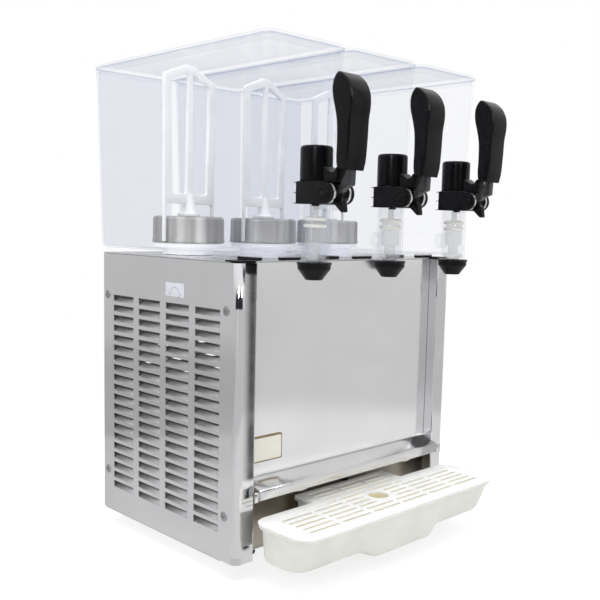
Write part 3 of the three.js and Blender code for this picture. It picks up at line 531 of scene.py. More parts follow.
label_front, label_back, label_low, label_high = -44, -2, 330, 348
label_gap, label_thickness = 0.05, 0.3
dial_y, dial_z = (label_front + label_back) / 2, label_low + 3
dial_radius, line_half = 9.5, 0.26
dash_middle, dash_reach, dash_half = 12.2, 1.6, 0.35
nought_along, nought_drop, nought_radius, nought_squash, nought_half = 9.2, 3.4, 1.1, 0.75, 0.32
label, place = new_finish("dial_label")
along = (place.part(1) - (machine.y + dial_y / 1000)) * -1000
up = (place.part(2) - (machine.z + dial_z / 1000)) * 1000
from_middle = (along * along + up * up) ** 0.5
dial = ((from_middle - dial_radius).size() < line_half) * (up > 0.8)
dashes = (up.size() < dash_half) * ((from_middle - dash_middle).size() < dash_reach)
from_nought = ((along - nought_along) ** 2 + ((up + nought_drop) * nought_squash) ** 2) ** 0.5
ink = dial.most(dashes).most((from_nought - nought_radius).size() < nought_half)
dust = label.noise(place, 60, 3)
paper = label.blend(dust, (0.60, 0.60, 0.655), (0.67, 0.67, 0.72))
label_white = label.shown(label.surface(
    base_color=label.blend(ink, paper, (0.12, 0.125, 0.15)),
    roughness=0.34 + 0.1 * dust, normal=label.bump(dust, 0.00004, 0.4)))


def softened(points, radius, steps=5):
    """An outline whose corners are rounded."""
    result = []
    count = len(points)
    for i, corner in enumerate(points):
        here = Vector(corner)
        before, after = Vector(points[i - 1]) - here, Vector(points[(i + 1) % count]) - here
        half = before.angle(after) / 2
        pull = min(radius / math.tan(half), before.length * 0.49, after.length * 0.49)
        start, end = here + before.normalized() * pull, here + after.normalized() * pull
        for k in range(steps + 1):
            t = k / steps
            result.append(tuple(start * (1 - t) ** 2 + here * 2 * t * (1 - t) + end * t * t))
    return result


def oblong(x0, x1, y0, y1, radius=0, steps=5):
    corners = [(x0, y0), (x1, y0), (x1, y1), (x0, y1)]
    return softened(corners, radius, steps) if radius else corners


label_plane = -side_half - label_gap
Shape().plate([oblong(label_front, label_back, label_low, label_high)], label_plane - label_thickness,
              label_plane, 0.08, "x").made("dial_label", label_white, slot="white_plastic")


# Front of the cabinet: the plain front panel, the ledge that shelters the tray's back edge, with a
# small bead pressed into its lip on either side, and the lower panel. Stainless sheet, satin polished.
front_steel = sheet_steel("satin_front_sheet", (0.88, 0.88, 0.885), 0.10, (900, 8, 8), 0.0018, 0.05)
ledge_steel = sheet_steel("polished_ledge_sheet", (0.74, 0.74, 0.745), 0.20, (6, 900, 900), 0.0016, 0.05)
# The lower panel's dark brown tone is painted shade under the ledge and a painted reflection of the shaded
# tray, not the steel's own colour.
kick_steel_painted_shade = sheet_steel("dull_lower_sheet_painted_shade", (0.38, 0.34, 0.28), 0.30, (900, 8, 8), 0.0022, 0.07)
dressed("front_panel", front_steel, 0.5)
dressed("kick_panel", kick_steel_painted_shade, 0.5)
ledge_thickness = 1.3
ledge_half, lip_half = 181.7, 190
ledge_back, ledge_level = -121, 103
lip_plane, lip_top, lip_bottom = -165.5, 92, 80
bead_place, bead_half, bead_depth, bead_steps = 108, 12, 1.5, 6


def lip_low(x):
    """The lip's lower edge, with a small bead pressed down on either side of the tray's bay."""
    share = min(abs(abs(x) - bead_place) / bead_half, 1)
    return lip_bottom + bead_depth - bead_depth * (1 - share * share) ** 2


def ledge_section(x):
    """The folded sheet's outside, from the lower panel over the shelf and down the lip."""
    bends = [(ledge_back, ledge_level), (-137.5, ledge_level), (-138.5, 102.9),
             (-163, 95.4), (-164.6, 94.6), (-165.3, 93.4), (lip_plane, lip_top),
             (lip_plane, lip_low(x) + 1.2), (lip_plane + 0.4, lip_low(x)), (lip_plane + 2.4, lip_low(x))]
    return [(x, y, z) for y, z in bends]


stations = [-ledge_half, ledge_half]
for side in (-1, 1):
    stations += [side * bead_place + bead_half * k / bead_steps for k in range(-bead_steps, bead_steps + 1)]
ledge = Shape().loft([ledge_section(x) for x in sorted(stations)], closed=False, low=False, high=False)
lip_end = [(lip_plane + 1, lip_top + 1.5), (lip_plane, lip_top + 0.5), (lip_plane, lip_bottom + 1),
           (lip_plane + 1, lip_bottom)]
for side in (-1, 1):
    ledge.loft([[(x, y, z) for y, z in lip_end] for x in sorted((side * ledge_half, side * lip_half))],
               closed=False, low=False, high=False)
ledge.made("drip_ledge_sheet", ledge_steel, "drip_ledge",
           thickness=ledge_thickness, sharp=30)

# Badge plate on the front panel, a cast plate with a worn gilt edge round a bare cream face.
badge_left, badge_right, badge_low, badge_high = -176.5, -122.5, 122, 156
badge_border = 2
rim_front, rim_back, face_front, face_back = -140.2, -138.3, -140.6, -140.0
gilt, place = new_finish("badge_gilt")
wear = gilt.noise(place, 300, 4, 0.6)
badge_gilt = gilt.shown(gilt.surface(
    base_color=gilt.blend(wear.eased(0.35, 0.7), (0.36, 0.27, 0.15), (0.20, 0.15, 0.09)), metallic=0.9,
    roughness=0.28 + 0.2 * wear, normal=gilt.bump(wear, 0.00006, 0.5)))
cream, place = new_finish("badge_cream")
fine = cream.noise(place, 700, 3)
badge_cream = cream.shown(cream.surface(
    base_color=cream.blend(cream.noise(place, 60, 3), (0.72, 0.70, 0.60), (0.82, 0.80, 0.72)), metallic=0.25,
    roughness=0.30 + 0.12 * fine, normal=cream.bump(fine, 0.00003, 0.5)))
Shape().plate([oblong(badge_left, badge_right, badge_low, badge_high, 2.5)], rim_front, rim_back, 0.6,
              "y").made("badge_rim", badge_gilt, "badge_plate")
Shape().plate([oblong(badge_left + badge_border, badge_right - badge_border, badge_low + badge_border,
                      badge_high - badge_border, 1.6)], face_front, face_back, 0.2, "y").made(
    "badge_face", badge_cream, slot="cream_plastic")


# Deck and back: the brushed top plate that carries the bowls, the back panel with its own pressed
# louvres, and the zinc-plated base pan.
deck_steel = sheet_steel("brushed_deck_sheet", (0.74, 0.74, 0.75), 0.24, (6, 700, 700), 0.0012)
back_steel = sheet_steel("brushed_back_sheet", (0.72, 0.72, 0.73), 0.28, (8, 8, 700), 0.0025)
zinc, place = new_finish("zinc_plate")
spangle = zinc.node("TexVoronoi", {}, {"Vector": place, "Scale": 70.0}, "Color").part(0)
stain = zinc.noise(place, 18, 4)
zinc_plate = zinc.shown(zinc.surface(
    base_color=zinc.blend(spangle, (0.50, 0.51, 0.52), (0.64, 0.65, 0.66)), metallic=1.0,
    roughness=0.36 + 0.14 * stain + 0.06 * spangle, normal=zinc.bump(stain, 0.0002, 0.3)))
dressed("top_deck", deck_steel, 0.5)
dressed("rear_panel", back_steel, 0.3)
dressed("base_pan", zinc_plate, 0.4)

rear_pitch, rear_vane_length, rear_margin = 100, 80, 10
rear_low, rear_row_pitch = 60, 24
rear_vanes = Shape()
for column in range(3):
    left = (column - 1.5) * rear_pitch + rear_margin
    for row in range(8):
        louvre(rear_vanes, left + rear_vane_length, left, rear_low + row * rear_row_pitch,
               lambda x, depth, z: (x, half_depth - depth, z))
rear_vanes.made("rear_vanes", vane_steel_painted_shade, slot="brushed_steel", thickness=vane_thickness, sharp=50)
rear_screws = [(x, z) for x in (-198, 198) for z in (60, 350)]
for number, (x, z) in enumerate(rear_screws, 1):
    screw(f"rear_screw_{number}", "y", 1, x, half_depth, z)


def moulded(name, tone, gloss, texture, depth, wear_tone, coat=0.0, specular=0.5, glow=0.0):
    """Moulded plastic or rubber: fine grain, flow marks and edges rubbed a little lighter. A glow, where
    given, is painted light.
    """
    plastic, place = new_finish(name)
    grain = plastic.noise(place, texture, 3, 0.6)
    flow = plastic.noise(place, 22, 4, 0.55)
    rubbed = plastic.noise(place, 140, 4, 0.7)
    colour = plastic.blend(flow.eased(0.3, 0.7), tone, tuple(0.93 * c for c in tone))
    colour = plastic.blend(rubbed.eased(0.58, 0.85) * 0.35, colour, wear_tone)
    return plastic.shown(plastic.surface(
        base_color=colour, roughness=gloss + 0.12 * flow.eased(0.3, 0.8) + 0.05 * grain,
        coat_weight=coat, coat_roughness=0.12, specular_ior_level=specular, emission_color=colour,
        emission_strength=glow, normal=plastic.bump(grain, depth, 0.5)))


# Black caps over the two front posts, and four rubber feet set well in.
black_moulding = moulded("black_moulding", (0.005, 0.005, 0.006), 0.26, 1600, 0.00004,
                         (0.012, 0.012, 0.014), specular=0.14)
foot_rubber = moulded("foot_rubber", (0.012, 0.012, 0.013), 0.62, 500, 0.0002, (0.04, 0.04, 0.04),
                      specular=0.3)
cap_back, cap_low, cap_high = -124, 380.3, 383.3
for side, name in ((-1, "left"), (1, "right")):
    corners = [(side_half, cap_back), (post_front, cap_back), (post_front, -half_depth), (205, -half_depth),
               (side_half, -146)]
    Shape().plate([softened([(side * x, y) for x, y in corners], 5)], cap_low, cap_high, 0.8, "z").made(
        f"post_cap_{name}", black_moulding, f"corner_cap_{name}")
foot_profile = [(0, -22), (12.6, -22), (13.6, -21.2), (14, -20), (13.2, -12), (11.4, -3.2), (10.9, -2.6),
                (0, -2.6)]
for node in ("foot_front_left", "foot_front_right", "foot_back_left", "foot_back_right"):
    x, y, _ = middle_of(node)
    Shape().turned(foot_profile, "z", x, y, 0, 48).made(
        f"rubber_{node}", foot_rubber, node)


# Cooling drums: spun stainless cups that stand on the deck and rise through the bowls' seats, with
# rings of fine lathe marks round them and a pin on top.
spin, place = new_finish("spun_steel")
rings = spin.noise(place.stretched(3, 3, 1400), 1.0, 4, 0.7)
# The drums' tone is streaked up and down round each drum: a painted reflection of the room on the round
# metal.
painted_reflection_stripes = spin.noise(place.stretched(70, 70, 3), 1.0, 2, 0.5)
water = spin.noise(place, 55, 4, 0.6)
spun_steel = spin.shown(spin.surface(
    base_color=spin.blend(painted_reflection_stripes.eased(0.32, 0.68), (0.34, 0.335, 0.33), (0.56, 0.555, 0.55)),
    metallic=0.75, roughness=0.50 + 0.10 * rings + 0.10 * water.eased(0.4, 0.8),
    normal=spin.bump(rings, 0.00003, 0.7)))
bowl_middles = [middle_of(f"bowl_{number}")[0] for number in (1, 2, 3)]
drum_y = middle_of("cooling_drum_1")[1]
seat_low = 382.1
drum_profile = [(0, seat_low), (34, seat_low), (34, 398.8), (50.2, 398.8), (51, 399.6), (51, 402),
                (50.3, 404), *arc(45.5, 431.3, 4.5, 0, 90, 6), (12, 435.8), (11.4, 435.2), (5, 435.2),
                (4.5, 435.8), (4, 436.4), (4, 445), (3.2, 445.8), (0, 445.8)]
for number, x in enumerate(bowl_middles, 1):
    Shape().turned(drum_profile, "z", x, drum_y, 0, 96).made(
        f"drum_{number}", spun_steel, f"cooling_drum_{number}", sharp=28)


# Agitators: white moulded frames that straddle the drums and turn on their pins, with a hub, a cross
# bar and a tapered post up to the gable.
white_moulding = moulded("white_moulding", (0.93, 0.935, 0.94), 0.36, 900, 0.00005, (0.84, 0.85, 0.86))
agitator_angle = math.radians(16.5)
agitator_half = 2.5
cross_low, cross_high, shoulder, apex = 452.8, 466.8, 625.8, 643.8
hub_profile = [(0, 436.1), (15.4, 436.1), (16, 436.7), (16, 439.5), (15.4, 440.1), (11, 440.4),
               (10.4, 442), (8, 456), (7, 466), (0, cross_high)]


def mirror(points):
    return [(-a, b) for a, b in reversed(points)]


for number, x in enumerate(bowl_middles, 1):
    edge_side = [(53, cross_low), (53, 400.8), (57, 400.8), (57, cross_high), (58, shoulder), (9, apex)]
    window = softened([(8, cross_high), (40, cross_high), (44, shoulder - 7), (10, shoulder + 5.6),
                       (4.5, shoulder + 5.6)], 5)
    whirl = Shape().plate([softened(edge_side + mirror(edge_side), 5), window, mirror(window)],
                          -agitator_half, agitator_half, 0.9, "y")
    whirl.turned(hub_profile, "z", 0, 0, 0, 40)
    swing = Matrix.Rotation(agitator_angle, 4, "Z")
    whirl.points = [tuple(Vector((x, drum_y, 0)) + swing @ Vector(p)) for p in whirl.points]
    whirl.made(f"agitator_frame_{number}", white_moulding, f"agitator_{number}", joined=False)


# Bowls: clear polycarbonate, moulded in one with the tap tube at the front, a band under the rim and
# block feet at the back. Thick edges show blue, and the back walls are drawn a little darker than the rest.
def clear_plastic(name, tint, edge_tone, haze):
    """Clear plastic seen straight through, whose tinted body shows towards its edges and in scuffs."""
    clear, place = new_finish(name)
    scuffs = clear.noise(place.stretched(14, 14, 160), 1.0, 4, 0.7)
    shape = clear.bump(clear.noise(place, 9, 2), 0.0016)
    rim = clear.node("LayerWeight", {}, {"Blend": 0.32, "Normal": shape}, "Facing")
    through = clear.node("BsdfTransparent", {}, {"Color": opaque(tint)})
    body = clear.surface(base_color=clear.blend(scuffs, edge_tone, tuple(0.92 * c for c in edge_tone)),
                         roughness=0.06 + 0.10 * scuffs.eased(0.5, 0.8), normal=shape, coat_weight=0.5)
    return clear.shown(clear.mixed(haze + 0.02 * scuffs.eased(0.55, 0.8) + 0.80 * rim ** 4.4, through, body))


def rounded_ring(x0, x1, y0, y1, radius, z, steps=12):
    ring = []
    for cx, cy, start in ((x1 - radius, y1 - radius, 0), (x0 + radius, y1 - radius, 90),
                          (x0 + radius, y0 + radius, 180), (x1 - radius, y0 + radius, 270)):
        ring += [(a, b, z) for a, b in arc(cx, cy, radius, start, start + 90, steps)]
    return ring


bowl_clear = clear_plastic("clear_polycarbonate", (0.988, 0.989, 0.992), (0.52, 0.56, 0.70), 0.012)
back_clear = clear_plastic("clear_polycarbonate_back", (0.898, 0.906, 0.932), (0.52, 0.56, 0.70), 0.012)
tube_clear = clear_plastic("clear_tube", (0.975, 0.977, 0.98), (0.66, 0.67, 0.70), 0.03)
# The seat's glow is painted light that brightens the bowls' floors and seats.
seat_white_painted_light = moulded("seat_white_painted_light", (0.92, 0.925, 0.95), 0.4, 900, 0.00005, (0.84, 0.85, 0.88), glow=0.28)
bowl_bottom, bowl_height, bowl_wall = 387.8, 257, 2.5
bowl_floor, bowl_rim = bowl_bottom + bowl_wall, bowl_bottom + bowl_height
bowl_half, side_draft = 62.5, 3
bowl_front, front_draft = -183, 11
bowl_back, back_draft = 182, 9
outer_fillet, inner_fillet = 8, 6
collar_outside, collar_seat, collar_bore, collar_rise = 42.5, 36.5, 34.5, 2
block_place, block_half, block_front, block_back, block_low, block_high = 50.5, 7, 158, 170, 383.8, 388
# Each step of the rim: height, how far inside the wall's outside, and the corners' radius.
rim_steps = [(630, 0, 12), (631, -0.7, 12.6), (641, -0.7, 12.6), (642, -1.3, 13), (644.2, -1.3, 13),
             (bowl_rim, -0.7, 12.6), (bowl_rim, 2, 10.5), (644, bowl_wall, 10)]
seat_profile = [(34.4, 382.6), (36.2, 382.6), (36.2, 392.6), (48, 392.6), (48.6, 393.2), (48.6, 397.9),
                (48, 398.5), (34.4, 398.5), (34.4, 382.6)]


def bowl_ring(x, z, inset, radius):
    """The bowl's wall at a height, drafted outwards to the rim."""
    share = (z - bowl_bottom) / bowl_height
    half = bowl_half + side_draft * share - inset
    return rounded_ring(x - half, x + half, bowl_front - front_draft * share + inset,
                        bowl_back + back_draft * share - inset, radius, z)


def collar_ring(x, radius, z):
    """A circle round the drum, with a point towards each point of the bowl's outline."""
    angles = [math.atan2(py - drum_y, px - x) for px, py, _ in bowl_ring(x, bowl_bottom, 10, 6)]
    return [(x + radius * math.cos(a), drum_y + radius * math.sin(a), z) for a in angles]


tap_y = middle_of("tap_cap_1")[1]
tube_radius, tube_bore, tube_low, tube_high = 17.3, 14.5, 383.8, 452.8
flutes, flute_cut, tube_sides = 14, 0.9, 112
duct_front, duct_back, duct_level = -194.2, -183.2, 409.8
for number, x in enumerate(bowl_middles, 1):
    quarter = arc(0, 0, 1, 0, 90, 6)
    rings = [collar_ring(x, collar_outside, bowl_bottom)]
    rings += [bowl_ring(x, bowl_bottom + outer_fillet * (1 - c), outer_fillet * (1 - s), 12 - 5 * (1 - s))
              for c, s in quarter]
    rings += [bowl_ring(x, z, inset, radius) for z, inset, radius in rim_steps]
    rings += [bowl_ring(x, bowl_floor + inner_fillet * (1 - s), bowl_wall + inner_fillet * (1 - c),
                        10 - 4 * (1 - c)) for c, s in quarter]
    rings += [collar_ring(x, radius, z) for radius, z in (
        (collar_seat, bowl_floor), (collar_seat, bowl_floor + collar_rise),
        (collar_bore, bowl_floor + collar_rise), (collar_bore, seat_low), (collar_outside, seat_low))]
    vessel = Shape().loft(rings, looped=True)
    for middle in (x - block_place, x + block_place):
        vessel.loft([rounded_ring(middle - block_half, middle + block_half, block_front, block_back, 2, z, 3)
                     for z in (block_low, block_high)], high=False)
    shell = vessel.made(f"bowl_shell_{number}", bowl_clear, f"bowl_{number}",
                        sharp=40)
    shell.data.materials.append(back_clear)
    for face in shell.data.polygons:
        outward = (face.center - machine) * 1000
        face.material_index = int(abs(face.normal.y) > 0.25 and outward.y > 150 and outward.z > 388.5)
    Shape().turned(seat_profile, "z", x, drum_y, 0, 64).made(
        f"seat_gasket_{number}", seat_white_painted_light, slot="white_plastic", sharp=40)

    tube_rings = [fluted("z", tube_radius, z, x, tap_y, 0, tube_sides, cut, flutes) for z, cut in (
        (tube_low, 0), (386.5, 0), (387.5, flute_cut), (427, flute_cut), (428, 0), (tube_high, 0))]
    tube_rings += [fluted("z", tube_bore, z, x, tap_y, 0, tube_sides) for z in (tube_high, tube_low)]
    tube = Shape().loft(tube_rings, looped=True)
    duct = [(10.2, duct_back), (11, duct_back - 0.8), (11, duct_front), (7, duct_front), (7, duct_back),
            (10.2, duct_back)]
    tube.turned(duct, "y", x, 0, duct_level, 48)
    tube.made(f"tap_tube_{number}", tube_clear, slot="clear_plastic", sharp=40)


# Lids: clear shallow covers whose flange stands on the rim and whose skirt drops inside the bowl.
lid_edge = clear_plastic("clear_lid_edge", (0.80, 0.83, 0.90), (0.40, 0.43, 0.56), 0.22)
lid_clear = clear_plastic("clear_lid", (0.982, 0.984, 0.989), (0.50, 0.54, 0.68), 0.012)
lid_half, lid_front, lid_back = 67, -195.5, 192.5
skirt_low = 639.5
# Each step of the section: how far inside the flange's edge, the height, and the corners' radius.
lid_outside = [(4.4, skirt_low, 9.5), (4.4, 645.1, 9.5), (0.3, 645.1, 13.3), (0, 645.4, 13.5),
               (0, 647.2, 13.5), (0.6, 647.8, 13), (1.6, 648, 12.2), (2.2, 650.6, 11.8), (3.2, 651.8, 11),
               (4.6, 652.1, 10), (9, 652.1, 8), (9.8, 651.6, 7.5), (11, 651.5, 7)]
lid_inside = [(11.4, 649.6, 6.5), (6.9, 649.6, 8), (6.4, 649, 8.4), (6.2, skirt_low, 8.4)]
for number, x in enumerate(bowl_middles, 1):
    outer, inner = ([rounded_ring(x - lid_half + inset, x + lid_half - inset, lid_front + inset,
                                  lid_back - inset, radius, z) for inset, z, radius in steps]
                    for steps in (lid_outside, lid_inside))
    cover = Shape().loft(outer, low=False).loft(inner, high=False)
    cover.loft([inner[-1], outer[0]], low=False, high=False)
    lid = cover.made(f"lid_cover_{number}", lid_clear, f"lid_{number}",
                     sharp=30)
    lid.data.materials.append(lid_edge)
    for face in lid.data.polygons:
        rise = (face.center - machine).z * 1000
        on_edge = 645.2 < rise < 647.4 or 650.6 < rise < 652
        face.material_index = int(abs(face.normal.z) < 0.5 and on_edge)

# Pads between the bowls and the deck: two black rubber strips under the front of each bowl.
pad_near, pad_far, pad_front, pad_back, pad_low, pad_high = 16, 52, -134, -126, 382, 387.6
for number, x in enumerate(bowl_middles, 1):
    pads = Shape()
    for left, right in ((x - pad_far, x - pad_near), (x + pad_near, x + pad_far)):
        pads.plate([oblong(left, right, pad_front, pad_back, 2)], pad_low, pad_high, 0.8, "z")
    pads.made(f"bowl_pads_{number}", foot_rubber, slot="black_rubber")


# Taps: a black nozzle under the clear tube, the milky piston with its two cream seals inside it, a
# black bracket and cap on top, and the bright pin that the lever turns on.
piston_cream = moulded("piston_cream", (0.84, 0.83, 0.78), 0.35, 700, 0.00004, (0.66, 0.64, 0.56))
plunger_milky = clear_plastic("milky_plunger", (0.95, 0.95, 0.95), (0.90, 0.90, 0.89), 0.26)
gloss_black = moulded("gloss_black_moulding", (0.004, 0.004, 0.005), 0.13, 1200, 0.00002,
                      (0.010, 0.010, 0.012), specular=0.16)
pin_y, pin_z = middle_of("lever_pin_1")[1:]
yoke_top, yoke_bottom, yoke_back = 480.1, 453.1, -195
block_half_width, cheek_inner, cheek_outer, web_half = 15.2, 15, 19.5, 9
rib_half, rib_front, rib_back, rib_thickness = 19.2, -195.6, -191.2, 0.9
spout = [(8.6, 362), (10.2, 362), (10.8, 362.5), (11.4, 363.4), (19.4, 374.2), (20.2, 375.2), (20.4, 376.2),
         (20.4, 380.2), (21.0, 380.5), (21.5, 381.2), (21.5, 382.9), (20.9, 383.5), (13, 383.5),
         (8.6, 375.5), (8.6, 362)]
plunger = [(0, 384.1), (7, 384.1), (12.8, 387.6), (13.4, 388.2), (13.4, 391.6), (12.8, 392.1), (7.4, 392.1),
           (7, 392.6), (7, 403), (7.6, 403.8), (11.0, 404.1), (11.6, 405), (11.6, 424), (12.1, 424.6),
           (12.1, 430), (11.6, 430.6), (11.6, 439), (4, 439), (4, 495.1), (9, 495.1), (9, 499.6),
           (8.5, 500.1), (0, 500.1)]
seal_section = [(12.2, 0), (13.6, 0.3), (14.2, 1.6), (14.2, 2.4), (13.6, 3.7), (12.2, 4), (12.2, 0)]
block = softened([(yoke_back, yoke_bottom), (yoke_back, yoke_top), (-232.6, yoke_top),
                  (-232.6, yoke_bottom)], 2.4, 4)
cheek = [(-196.6, yoke_top), (yoke_back, 478.5), (yoke_back, 454.7), (-196.6, yoke_bottom),
         (pin_y, yoke_bottom), *arc(pin_y, pin_z, 12.5, 260, 100, 16), (pin_y, 478.1), (-236, 479.4),
         (-231, yoke_top)]
pin_cover = [(8, 19.2), (8, 20.3), (7.6, 20.7), (7.0, 20.7), (6.6, 20.3), (6.4, 19.9), (5.0, 19.9),
             (4.6, 20.7), (4, 21.1), (0, 21.2), (0, 19.2)]
web = [(-226.6, 477), (-229.7, 480.2), (-229.7, 498.1), (-236.2, 493.6), (-242.2, 490), (-247.7, 490.9),
       (-250.6, 495.4), (-253, 496.7), (-253, 485.5), (-249.4, 478.3)]
crown = [(16.8, 480.4), (19.4, 480.4), (19.8, 480.9), (19.8, 483), (19.3, 483.4), (19.3, 484),
         (19.8, 484.4), *arc(15.8, 518.4, 4, 0, 90, 6), (6, 522.4), (5.4, 521.8), (0, 521.8), (0, 519.4),
         (16.8, 519.4), (16.8, 480.4)]
axle = [(0, -19.4), (3, -19.4), (3, -14.7), (11.6, -14.7), (12, -14.3), (12, -13.2), (11.3, -13.0),
        (12, -12.7), (12, -11.9), (11.6, -11.5), (3, -11.5)]
axle += [(r, -h) for r, h in reversed(axle)]
for number, x in enumerate(bowl_middles, 1):
    Shape().turned(spout, "z", x, tap_y, 0, 64).made(
        f"spout_{number}", gloss_black, f"nozzle_{number}", sharp=40)
    Shape().turned(plunger, "z", x, tap_y, 0, 48).made(
        f"plunger_{number}", plunger_milky, f"piston_{number}", sharp=40)
    seals = Shape()
    for low in (425.2, 433.6):
        seals.turned(seal_section, "z", x, tap_y, low, 48)
    seals.made(f"plunger_seals_{number}", piston_cream, slot="cream_plastic", body=f"piston_{number}",
               joined=False)

    yoke = Shape().plate([block], -block_half_width, block_half_width, 0.4, "x", x)
    for side in (-1, 1):
        yoke.plate([cheek], *sorted((side * cheek_inner, side * cheek_outer)), 0.7, "x", x)
        yoke.turned([(r, side * h) for r, h in pin_cover], "x", x, pin_y, pin_z, 48)
    for z in (453.5, 465.8, 478.4):
        yoke.brick(x - rib_half, x + rib_half, rib_front, rib_back, z, z + rib_thickness)
    yoke.brick(x - 17.5, x - 10.5, -227, -221, 450.6, 453.4)
    yoke.plate([softened(web, 1.6, 4)], -web_half, web_half, 0.7, "x", x)
    yoke.made(f"tap_yoke_{number}", black_moulding, f"tap_bracket_{number}",
              joined=False)
    Shape().turned(crown, "z", x, tap_y, 0, 64).made(
        f"tap_crown_{number}", gloss_black, f"tap_cap_{number}", sharp=40)
    Shape().turned(axle, "x", x, pin_y, pin_z, 40).made(
        f"lever_axle_{number}", bright_steel, f"lever_pin_{number}", sharp=40)


# Levers: glossy black grips, blunt below and curled back at the head, each on a square neck that
# swings on the pin, with a tail below.
lever_grey = moulded("lever_grey_moulding", (0.035, 0.036, 0.038), 0.18, 900, 0.00004,
                     (0.06, 0.06, 0.062), specular=0.4)
grip_corner = 2.6
neck_half = 4.5
barrel = [(0, -10.9), (8.4, -10.9), (9, -10.3), (9, 10.3), (8.4, 10.9), (0, 10.9)]
# Each row: front edge and back edge, as places from front to back and up, and half the width.
grip_rows = [
    (-273.0, 491.8, -258.2, 494.0, 15.6), (-273.9, 497.0, -257.4, 498.5, 16.4),
    (-275.5, 505.5, -257.0, 507.0, 16.8), (-277.0, 527.0, -257.5, 524.0, 17),
    (-278.0, 549.0, -256.8, 545.0, 17), (-280.4, 566.0, -253.4, 561.0, 17),
    (-279.2, 580.0, -249.6, 574.0, 17), (-273.2, 591.6, -248.4, 584.5, 17),
    (-265.6, 598.6, -249.4, 592.0, 16.8), (-260.2, 601.9, -252.0, 598.0, 16.2),
    (-257.8, 602.6, -254.6, 601.0, 15.4)]
tail = [(-236.3, 460.2), (-251.1, 465.6), (-257.4, 457.9), (-259.5, 444.7), (-256.5, 443.6)]
neck_outline = [(-246.7, 463.5), (-249.2, 467.4), (-261.8, 489.8), (-261.8, 495), (-270.8, 495),
                (-270.8, 489.2), (-270.2, 475.1), (-259.9, 470.9), (-255.2, 467.0)]


def through_rows(rows, steps):
    """Rows joined by a smooth curve through every one of them."""
    result = []
    for i in range(len(rows) - 1):
        four = [rows[max(i - 1, 0)], rows[i], rows[i + 1], rows[min(i + 2, len(rows) - 1)]]
        for k in range(steps):
            t = k / steps
            weights = (-t + 2 * t * t - t ** 3, 2 - 5 * t * t + 3 * t ** 3, t + 4 * t * t - 3 * t ** 3,
                       t ** 3 - t * t)
            result.append([sum(w * value for w, value in zip(weights, column)) / 2 for column in zip(*four)])
    return result + [list(rows[-1])]


def grip_ring(x, row, swell=1.0):
    """One cross-section of the grip: an oblong with small round corners, leaning with the row."""
    front, front_up, back, back_up, half = row
    start, end = Vector((front, front_up)), Vector((back, back_up))
    middle, reach = (start + end) / 2, (end - start) / 2
    deep, wide = reach.length * swell, half * swell
    corner = min(grip_corner, deep * 0.9)
    ring = []
    for a, b, turn in ((1, 1, 0), (-1, 1, 90), (-1, -1, 180), (1, -1, 270)):
        for out, back_along in arc(a * (wide - corner), b * (deep - corner), corner, turn, turn + 90, 6):
            spot = middle + back_along * reach.normalized()
            ring.append((x + out, spot.x, spot.y))
    return ring


for number, x in enumerate(bowl_middles, 1):
    rows = through_rows(grip_rows, 6)
    front, front_up, back, back_up, half = rows[-1]
    crest = [front + 0.4, front_up + 0.1, back - 0.4, back_up + 0.2, half]
    rings = [grip_ring(x, rows[0], 0.9), *(grip_ring(x, row) for row in rows)]
    grip = Shape().loft(rings + [grip_ring(x, crest, shrink) for shrink in (0.8, 0.4)])
    grip.turned(barrel, "x", x, pin_y, pin_z, 48)
    grip.plate([softened(tail, 1.2)], -neck_half, neck_half, 0.8, "x", x)
    grip.made(f"lever_grip_{number}", gloss_black, f"lever_{number}",
              sharp=50, joined=False)
    Shape().plate([softened(neck_outline, 1.0)], -neck_half, neck_half, 0.8, "x", x).made(
        f"lever_neck_{number}", lever_grey, slot="black_plastic", body=f"lever_{number}", joined=False)


# Drip tray: warm white moulding with a rolled rim, a belly that hangs lower in the middle of its
# front, and a bay that reaches back under the ledge.
tray_moulding = moulded("tray_moulding", (0.70, 0.695, 0.65), 0.26, 500, 0.00008, (0.64, 0.635, 0.59))
# The lining's glow is painted light in the tray's shade under the grille.
tray_beige_painted_light = moulded("tray_beige_painted_light", (0.72, 0.68, 0.50), 0.42, 500, 0.00008, (0.72, 0.67, 0.50), glow=0.30)
tray_top, tray_low = 58, 10
tray_half, tray_front, tray_back = 197, -264, -172
tray_end_draft, tray_front_draft, belly_draft, tray_back_draft = 5, 22, 12, 2
front_corner, front_corner_least, back_corner = 27, 12, 24
tray_bay_half, tray_bay_back = 88, -134
belly_end, belly_ease = 80, 28
sag_end, sag_ease, belly_sag = 84, 36, 9.6
tray_wall = 2.5


def eased_in(x, end, ease):
    """From 0 outside a place to 1 further in, smoothly."""
    t = min(max((end - abs(x)) / ease, 0), 1)
    return t * t * (3 - 2 * t)


def tray_ring(z, grow):
    """The tray's outline at a height, moved out by grow."""
    share = (tray_top - z) / tray_top
    half = tray_half - tray_end_draft * share + grow
    back = tray_back - tray_back_draft * share + grow
    bay_half, bay_back = tray_bay_half + grow, tray_bay_back - tray_back_draft * share + grow
    near, far = max(front_corner + grow, front_corner_least), back_corner + grow
    end_front = tray_front + tray_front_draft * share - grow
    belly = (belly_draft - tray_front_draft) * share
    sag = belly_sag * share * tray_top / (tray_top - tray_low)
    front = []
    for k in range(49):
        x = (near - half) * (1 - 2 * k / 48)
        front.append((x, end_front + belly * eased_in(x, belly_end, belly_ease),
                      z - sag * eased_in(x, sag_end, sag_ease)))
    right = arc(half - near, end_front + near, near, 270, 360, 10)[1:]
    right += arc(half - far, back - far, far, 0, 90, 10)[1:]
    right += [(bay_half + 4, back), (bay_half + 1, back + 1), (bay_half, back + 4), (bay_half, bay_back - 5),
              (bay_half - 1.5, bay_back - 1.5), (bay_half - 5, bay_back)]
    return front + [(a, b, z) for a, b in right + mirror(right)[:-1]]


